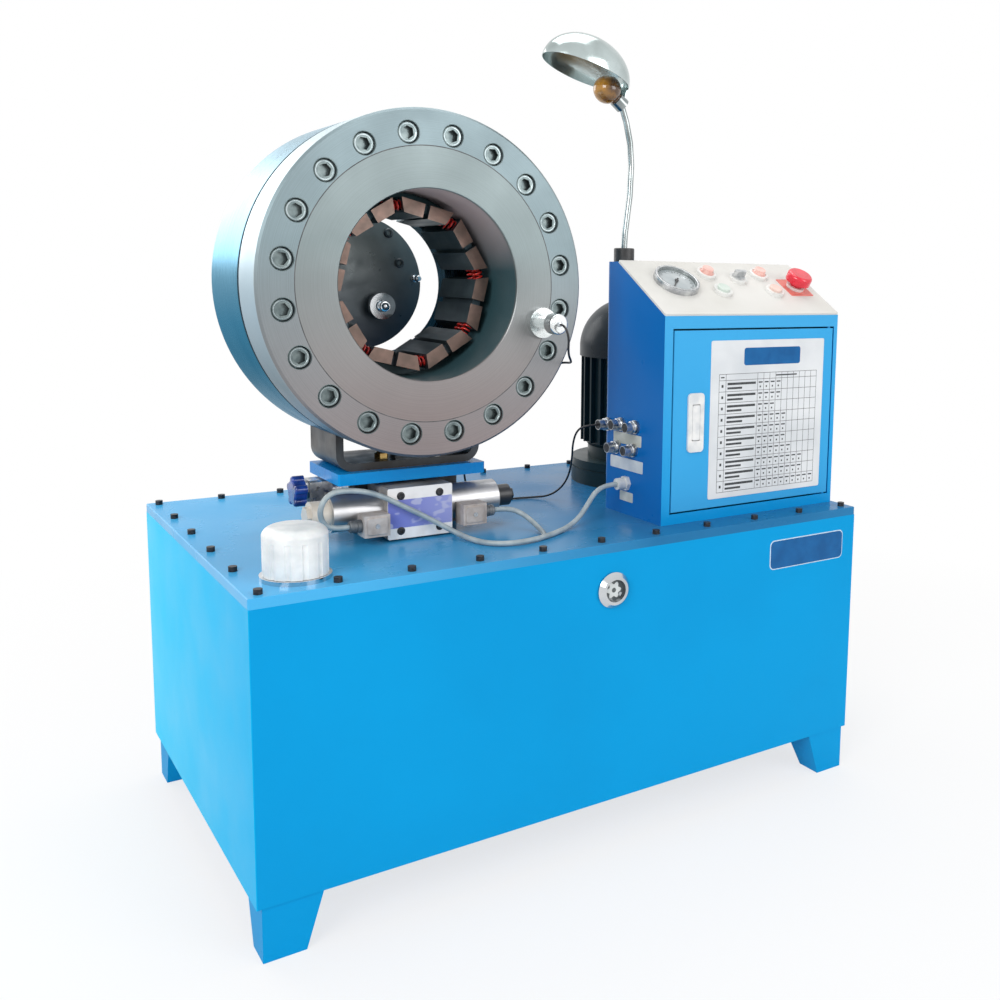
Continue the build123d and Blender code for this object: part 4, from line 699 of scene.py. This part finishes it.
coil_metal = finish("satin_coil_shell", (0.36, 0.36, 0.37), 0.34, 0.85)
tree = coil_metal.node_tree
coil_x = place_of(coil_metal, AXIS)[0]
coil_tone = mix(coil_metal, span(tree, grain(coil_metal, 20, (1, 4, 4), detail=5), 0.3, 0.7),
                (0.3, 0.3, 0.31), (0.52, 0.52, 0.53))
right_cap = span(tree, coil_x, 0.121, 0.1225)
left_cap = span(tree, coil_x, -0.1105, -0.112)
coil_tone = mix(coil_metal, right_cap, coil_tone, (0.02, 0.022, 0.025))
paint(coil_metal, mix(coil_metal, left_cap, coil_tone, (0.66, 0.6, 0.52)))
caps = calc(tree, "SUBTRACT", 0.85, calc(tree, "MULTIPLY", calc(tree, "MAXIMUM", right_cap, left_cap), 0.85))
tree.links.new(caps, shader_of(coil_metal)["Metallic"])
relief(coil_metal, grain(coil_metal, 600, (0.2, 4, 4), detail=2), 0.15, 0.0002)
dress(coil_metal, "solenoid_coils")

plug_moulding = mottled("plug_moulding", (0.36, 0.31, 0.28), (0.54, 0.49, 0.46), 0.45)
relief(plug_moulding, grain(plug_moulding, 900, detail=2), 0.2, 0.0002)
plug_grey = mottled("plug_gland_moulding", (0.07, 0.08, 0.09), (0.16, 0.17, 0.18), 0.42, scale=80)
dress(plug_moulding, "solenoid_plugs")


def gland_sleeve(name, x, side):
    """Ribbed sleeve over a plug's cable outlet: rings of two radii, with a rounded mouth."""
    profile = [(4.2, 15.8), (6.6, 15.6), (7.6, 14.4), (7.6, 11.5), (7.15, 11.2), (7.15, 10.2),
               (7.6, 9.9), (7.6, 7.5), (7.15, 7.2), (7.15, 6.2), (8.4, 5.9), (8.4, 0.1), (7.1, 0.1)]
    lathe(name, profile, (x, plug_front + 12.5, plug_z), (side, 0, 0), plug_grey, 36)


def plug_cover(name, x):
    """Raised cover plate on a plug's face, with its middle screw."""
    middle = (x, plug_front, plug_z)
    slab(name, middle, RIGHT, UP, (27, 22), 3, 1.4, plug_moulding, 0.6)
    lathe(name + "_screw", [(3.2, 1.3), (3.0, 2.1), (0.9, 2.1), (0.7, 1.6), (0, 1.6)], middle, FORWARD,
          zinc, 20)


gland_sleeve("plug_gland_1", -275, -1)
gland_sleeve("plug_gland_2", -105, 1)
plug_cover("plug_cover_1", -258)
plug_cover("plug_cover_2", -122)

# ---- relief valve -------------------------------------------------------------------------------
# Plated steel block with two plugged ports, screwed into the valve block's side, and its
# handwheel: a glossy dark blue star, moulded in one piece.
handwheel_blue = mottled("handwheel_moulding", (0.004, 0.016, 0.14), (0.012, 0.06, 0.36), 0.22, scale=70,
                         Coat_Weight=0.5)
gloss(handwheel_blue, 0.16, 0.3, 90)
dress(zinc, "relief_valve")
dress(handwheel_blue, "relief_handwheel")

# ---- control cabinet ----------------------------------------------------------------------------
# Folded sheet steel in bright blue enamel, with painted shade deepening its left side and painted
# light making it lighter higher up, with the plated sockets, blank marking strips and the cable
# gland on its left side.
cabinet_left, cabinet_front, cabinet_back, panel_foot = 119, -224, -74, 713
cabinet_blue = enamel("cabinet_enamel", (0.004, 0.33, 0.72), (0.003, 0.29, 0.66), 0.3, 3.5)
tree = cabinet_blue.node_tree
cabinet_left_painted_shade = span(tree, facing(cabinet_blue)[0], -0.7, -0.98)
shell_painted_light_height = span(tree, place_of(cabinet_blue)[2], lid_top / 1000, 0.7, 0.0, 0.75)
shell_painted_light_tone = mix(cabinet_blue, shell_painted_light_height, tone_of(cabinet_blue), (0.07, 0.4, 0.74))
paint(cabinet_blue, mix(cabinet_blue, cabinet_left_painted_shade, shell_painted_light_tone, (0.001, 0.14, 0.46)))
door_blue = enamel("door_enamel", (0.05, 0.39, 0.75), (0.03, 0.34, 0.69), 0.28, 3.0)
dress(cabinet_blue, "cabinet_shell")
dress(zinc, "cabinet_connectors")
gland_white = mottled("gland_moulding", (0.6, 0.62, 0.62), (0.78, 0.78, 0.76), 0.4, scale=70)
dress(gland_white, "cable_gland")
gear_beige = mottled("control_gear_moulding", (0.3, 0.3, 0.29), (0.56, 0.56, 0.53), 0.5, scale=12, detail=6)
dress(gear_beige, "control_gear")
strip_cream = mottled("marking_strip", (0.45, 0.47, 0.43), (0.68, 0.68, 0.62), 0.4, 0.2, scale=30)
strip_silver = mottled("marking_strip_silver", (0.55, 0.58, 0.62), (0.76, 0.77, 0.76), 0.32, 0.5, scale=30)
for name, y, z, size, made in (("marking_strip_1", -137.5, 531.8, (71, 16.5), strip_cream),
                               ("marking_strip_2", -136.2, 494.6, (83, 17.5), strip_silver),
                               ("marking_strip_3", -137.5, 446.8, (33, 14), strip_cream)):
    slab(name, (cabinet_left, y, z), FORWARD, UP, size, 1.5, 0.7, made, 0.2)
for number, (from_back, up) in enumerate(((15, 128), (49, 132), (85, 132), (39, 97), (81, 98))):
    # coupling ring and the dark mouth of each socket
    foot, outward = (cabinet_left, cabinet_back - from_back, lid_top + up), (-1, 0, 0)
    lathe(f"socket_ring_{number + 1}",
          [(7.5, 5.5), (8.8, 5.8), (9.0, 6.6), (8.6, 7.1), (9.0, 7.6), (8.6, 8.2), (9.0, 8.8),
           (8.8, 9.8), (7.5, 10.2)], foot, outward, zinc, 36)
    lathe(f"socket_mouth_{number + 1}", [(6.6, 20.0), (6.4, 20.4), (5.4, 20.4), (5.2, 20.15), (0, 20.15)],
          foot, outward, black_steel, 28)

# ---- control panel ------------------------------------------------------------------------------
# Off-white powder-coated plate on the slope, with a pressure gauge, two pink lamps, two moulded
# buttons in white collars, a small selector and the red mushroom on its pink square.
panel_rise, panel_depth = 74, 119
slope = math.atan2(panel_rise, panel_depth)
panel_up = np.array((0.0, math.cos(slope), math.sin(slope)))
panel_out = np.array((0.0, -math.sin(slope), math.cos(slope)))


def on_panel(x, up_slope, lift):
    """Millimetre place on the slope: along the panel, up it, and out of it."""
    return (cabinet_left + x, cabinet_front, panel_foot) + up_slope * panel_up + lift * panel_out


panel_white = mottled("panel_powder_coat", (0.6, 0.59, 0.55), (0.7, 0.69, 0.66), 0.42, scale=6, detail=6,
                      low=0.3, high=0.6)
relief(panel_white, grain(panel_white, 700, detail=2), 0.12, 0.0002)
dress(panel_white, "control_panel")
gauge_grey = mottled("gauge_case_steel", (0.22, 0.25, 0.25), (0.42, 0.45, 0.45), 0.26, 0.7, scale=40)
dress(gauge_grey, "gauge_case")
needle_black = mottled("needle_paint", (0.012, 0.012, 0.013), (0.035, 0.035, 0.037), 0.4, scale=200)
dress(needle_black, "gauge_needle")
dial_pale = mottled("gauge_dial_enamel", (0.33, 0.38, 0.4), (0.5, 0.54, 0.55), 0.25, scale=25,
                    Coat_Weight=0.8, Coat_Roughness=0.04)
gauge_x, gauge_up, dial_lift = 66, 80, 6.05
lathe("gauge_dial", [(29.7, 0.0), (29.7, 0.3), (1.8, 0.3), (1.8, 0.0), (29.7, 0.0)],
      on_panel(gauge_x, gauge_up, dial_lift), panel_out, dial_pale, 64)
lathe("gauge_rim", [(33.9, 3.0), (34.6, 3.0), (34.6, 10.4), (33.6, 12.1), (31.8, 12.5), (30.1, 11.8),
                    (29.9, 9.5), (33.9, 9.2)],
      on_panel(gauge_x, gauge_up, 0), panel_out, zinc, 72)
mark_count = 28
marks = np.arange(mark_count)
sweep = np.radians(225 - 10 * marks)
inner = np.where(marks % 3 == 0, 21.5, 24.0)


def ticks(name, middle, across, up, angles, low, high, half, made):
    """Radial dial marks: for each angle a thin box from the low to the high radius, all one mesh."""
    out = np.cross(across, up)
    radial = np.cos(angles)[:, None] * across + np.sin(angles)[:, None] * up
    side = np.cross(out, radial)
    corners = []
    for lift in (0.0, 0.12):
        for reach_of, way in ((low, -1), (high, -1), (high, 1), (low, 1)):
            corners.append(middle + np.reshape(reach_of, (-1, 1)) * radial + way * half * side + lift * out)
    boxes(name, np.stack(corners, axis=1), made)


ticks("gauge_marks", on_panel(gauge_x, gauge_up, dial_lift + 0.3), RIGHT, panel_up, sweep, inner,
      np.full(mark_count, 27.0), 0.35, needle_black)

lamp_pink = mottled("lamp_lens_pink", (0.8, 0.42, 0.36), (0.88, 0.56, 0.5), 0.25, scale=80, Coat_Weight=0.3)
dress(lamp_pink, "pilot_lamps")
collar_white = mottled("collar_moulding", (0.68, 0.68, 0.66), (0.82, 0.82, 0.8), 0.3)
dress(collar_white, "panel_bezels")
button_green = mottled("button_pale_green", (0.5, 0.6, 0.53), (0.62, 0.7, 0.64), 0.32, scale=90,
                       Coat_Weight=0.2)
button_pink = mottled("button_pink", (0.74, 0.5, 0.43), (0.82, 0.62, 0.55), 0.32, scale=90, Coat_Weight=0.2)
dress(button_green, "push_button_1")
dress(button_pink, "push_button_2")
selector_grey = mottled("selector_moulding", (0.3, 0.32, 0.33), (0.62, 0.63, 0.63), 0.35, scale=90)
dress(selector_grey, "selector_switch")
mushroom_red = mottled("mushroom_red", (0.62, 0.005, 0.024), (0.8, 0.01, 0.04), 0.24, scale=50,
                       Coat_Weight=0.5, Coat_Roughness=0.08)
dress(mushroom_red, "emergency_stop")
square_pink = mottled("stop_square_pink", (0.66, 0.13, 0.11), (0.8, 0.22, 0.18), 0.36, scale=40)
slab("stop_square", on_panel(292, 71, 3.0), RIGHT, panel_up, (46, 46), 2, 0.8, square_pink)
for number, (x, up_slope) in enumerate(((137, 104), (240, 104))):
    # collar ring at the foot of each lamp lens
    lathe(f"lamp_collar_{number + 1}",
          [(14.4, 3.0), (15.1, 3.0), (15.1, 7.6), (14.2, 8.6), (11.6, 8.7), (11.2, 8.1)],
          on_panel(x, up_slope, 0), panel_out, collar_white, 48)

# ---- door ---------------------------------------------------------------------------------------
# Flush sheet steel door on pins at its right, with a white swing-handle lock and a printed
# aluminium chart: ruled rows and columns, with plain bars where the print would be.
dress(door_blue, "cabinet_door")
lock_white = mottled("lock_moulding", (0.62, 0.64, 0.66), (0.8, 0.8, 0.79), 0.32)
dress(lock_white, "lock_body", "lock_lever")
chart_silver = mottled("chart_aluminium", (0.56, 0.59, 0.62), (0.74, 0.76, 0.78), 0.36, 0.25, scale=9,
                       detail=5, low=0.3)
gloss(chart_silver, 0.3, 0.42, 200, (20, 1, 1))
chart_ink = mottled("chart_ink", (0.015, 0.018, 0.022), (0.05, 0.055, 0.06), 0.5, scale=120)
chart_x, chart_z, chart_thick = 311, 563.5, 0.8
chart_face = (chart_x, cabinet_front - chart_thick, chart_z)
slab("chart_plate", (chart_x, cabinet_front, chart_z), RIGHT, UP, (220, 229), 3, chart_thick,
     chart_silver, 0.2, "door")
table_left, table_right, table_top, table_low = -94.5, 96.0, 66.0, -106.0
row_lines = np.linspace(table_top - 9, table_low, 11)
column_step, first_column, half_line = 11.8, table_left + 72.5, 0.3
column_lines = (table_left, table_left + 12.5, *(first_column + column_step * np.arange(10)), table_right)
rows_of = [(table_left, table_right, z - half_line, z + half_line) for z in (table_top, *row_lines)]
columns_of = [(x - half_line, x + half_line, table_low, table_top) for x in column_lines]
bars("chart_lines", chart_face, RIGHT, UP, rows_of + columns_of, -0.05, 0.13, chart_ink,
     "door")
# bars in the head row, then in each row its number, two lines of words and the filled cells
cells = [(table_left + 3, table_left + 9.5, table_top - 5.5, table_top - 3.7),
         (table_left + 108, table_left + 150, table_top - 5.5, table_top - 3.5)]
for row, filled in enumerate((4, 4, 3, 5, 5, 5, 6, 8, 8, 10)):
    middle_z = (row_lines[row] + row_lines[row + 1]) / 2
    cells.append((table_left + 4.5, table_left + 8, middle_z - 2, middle_z + 2))
    cells.append((table_left + 15.5, table_left + 69, middle_z + 1.2, middle_z + 4.6))
    cells.append((table_left + 15.5, table_left + 43 + 2 * (row % 2), middle_z - 4.9, middle_z - 1.9))
    for column in range(filled):
        left_of = first_column + 2 + column_step * column
        cells.append((left_of, left_of + 7.6, middle_z + 2.4, middle_z + 4.4))
        cells.append((left_of + 2.2, left_of + 4.6, middle_z - 4.4, middle_z - 1.8))
bars("chart_marks", chart_face, RIGHT, UP, cells, -0.05, 0.12, chart_ink, "door")
slab("chart_heading", (chart_x + 6, chart_face[1] + 0.05, 654), RIGHT, UP, (110, 25.5), 4, 0.25, navy_enamel,
     0.1, "door")

# ---- motor --------------------------------------------------------------------------------------
# Ribbed flange motor in dark green enamel, with a pressed fan cowl and its guard of rings and
# spokes, and the pump below the lid.
motor_green = enamel("motor_enamel", (0.012, 0.035, 0.042), (0.006, 0.018, 0.024), 0.32, 6.0)
cowl_green = enamel("cowl_enamel", (0.012, 0.022, 0.03), (0.007, 0.013, 0.018), 0.3, 6.0)
dress(motor_green, "motor_body")
dress(cowl_green, "fan_cowl")
dress(zinc, "motor_rotor")
pump_iron = mottled("pump_iron", (0.08, 0.08, 0.085), (0.18, 0.18, 0.185), 0.5, 0.7, scale=40, detail=6)
relief(pump_iron, grain(pump_iron, 500), 0.3, 0.0004)
dress(pump_iron, "oil_pump")
cowl_x, cowl_y, guard_top, wire_radius = 305, 89, 726.6, 0.9


def guard_ring(name, radius):
    """Wire ring of the fan guard: a small circle carried round a large one."""
    turn = np.linspace(0, 2 * np.pi, 10, endpoint=False)
    profile = wire_radius * np.stack([np.cos(turn), np.sin(turn)], axis=1) + (radius, 0)
    lathe(name, np.vstack([profile, profile[:1]]), (cowl_x, cowl_y, guard_top), UP, cowl_green,
          64)


for number, radius in enumerate((10, 18, 26, 34)):
    guard_ring(f"guard_ring_{number + 1}", radius)
for number, turn in enumerate(np.arange(4) * np.pi / 4):
    way = (math.cos(turn), math.sin(turn), 0.0)
    bars(f"guard_spoke_{number + 1}", (cowl_x, cowl_y, guard_top - 1.7), way, (-way[1], way[0], 0.0),
         [(-40.5, 40.5, -1, 1)], 0, 1.2, cowl_green)

# ---- work lamp ----------------------------------------------------------------------------------
# Chromed gooseneck in a black moulded base, and a spun chromed half-shade over an amber bulb. The
# shade carries painted reflection: bright below, darker above, with dark painted clouds in the chrome.
base_black = mottled("lamp_base_moulding", (0.014, 0.014, 0.015), (0.04, 0.04, 0.042), 0.4, scale=80)
dress(base_black, "lamp_base")
tube_chrome = mottled("gooseneck_chrome", (0.22, 0.25, 0.25), (0.4, 0.43, 0.43), 0.2, 1.0, scale=25)
dress(tube_chrome, "lamp_tube")
bulb_amber = mottled("bulb_glass", (0.1, 0.045, 0.015), (0.55, 0.25, 0.02), 0.1, scale=30, low=0.38,
                     high=0.62, Transmission_Weight=0.15, Coat_Weight=0.6)
dress(bulb_amber, "lamp_bulb")
shade_chrome = finish("spun_shade_chrome", (0.6, 0.68, 0.68), 0.12, 0.9)
shade_z = place_of(shade_chrome, (0, 0, 1.06))[2]
lamp_shade_painted_reflection_height = span(shade_chrome.node_tree, shade_z, -0.05, 0.045)
lamp_shade_painted_reflection_tone = mix(shade_chrome, lamp_shade_painted_reflection_height, (0.8, 0.9, 0.91), (0.36, 0.42, 0.41))
lamp_shade_painted_reflection_clouds = span(shade_chrome.node_tree, grain(shade_chrome, 9, detail=4), 0.42, 0.62, 0.0, 0.75)
paint(shade_chrome, mix(shade_chrome, lamp_shade_painted_reflection_clouds, lamp_shade_painted_reflection_tone, (0.22, 0.26, 0.25)))
gloss(shade_chrome, 0.1, 0.22, 25)
dress(shade_chrome, "lamp_shade")

# ---- cords --------------------------------------------------------------------------------------
# Two grey sheathed solenoid cables and the thin black lead of the position sensor. They lie on
# the lid under their own weight and run into their glands and plugs.


def run_cord(name, points, radius, made):
    """A round cord: a NURBS spline with the route's points as its control points."""
    curve = bpy.data.curves.new(name, "CURVE")
    curve.dimensions = "3D"
    curve.resolution_u = 12
    curve.bevel_depth = radius
    curve.bevel_resolution = 5
    curve.use_fill_caps = True
    spline = curve.splines.new("NURBS")
    spline.points.add(len(points) - 1)
    spline.points.foreach_set("co", np.c_[np.array(points) / 1000, np.ones(len(points))].ravel())
    spline.order_u = 3
    spline.use_endpoint_u = True
    return settle(name, curve, made)


grey_sheath = mottled("grey_cable_sheath", (0.27, 0.33, 0.36), (0.42, 0.48, 0.49), 0.42)
relief(grey_sheath, grain(grey_sheath, 900), 0.2, 0.0002)
black_sheath = mottled("black_lead_sheath", (0.008, 0.008, 0.009), (0.02, 0.02, 0.022), 0.45, scale=90)
solenoid_cable = run_cord("valve_cable", [
    (101, -138, 467), (80, -138, 467), (58, -146, 460), (39, -156, 444), (20, -164, 430),
    (-6, -178, 423.8), (-40, -199, 423.8), (-78, -215, 424), (-114, -216, 423.8), (-138, -199, 423.8),
    (-147, -171, 424.1), (-155, -145, 428), (-172, -132, 439), (-195, -128, 453), (-220, -127, 467),
    (-244, -125, 481), (-268, -124, 491), (-292, -125, 495), (-311.8, -125.5, 495),
    (-324.4, -126, 485.8), (-329.2, -125.5, 471), (-324.4, -123, 456.2), (-311.8, -120.5, 447),
    (-290, -120.5, 447)], 0.0035, grey_sheath)
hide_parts("solenoid_cable_1")
branch_cable = run_cord("valve_cable_branch", [
    (-58, -206.5, 423.8), (-50, -192, 423.8), (-44, -172, 424.3), (-44, -150, 431), (-52, -131, 441),
    (-68, -120.5, 447), (-90, -120.5, 447)], 0.0035, grey_sheath)
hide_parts("solenoid_cable_2")
sensor_lead = run_cord("sensor_wire", [
    (-40, -211, 703), (-40, -219.5, 703), (-38.5, -227, 696), (-35.5, -227, 684), (-31, -218, 671),
    (-22, -205, 661), (-10, -190, 654), (0, -174, 649), (2, -150, 648), (-3, -122, 642),
    (-11, -90, 630), (-29, -52, 605), (-50, -24, 576), (-66, -4, 540), (-70, 10, 506), (-66, 20, 470),
    (-54, 28, 440), (-34, 34, 423.8), (-6, 36, 421.8), (26, 36, 421.8), (54, 30, 421.8),
    (76, 12, 424.8), (88, -8, 442), (88, -28, 466), (80, -48, 494), (70, -66, 520), (68, -80, 540),
    (76, -89, 548), (99, -89, 548)], 0.0015, black_sheath)
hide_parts("sensor_lead")
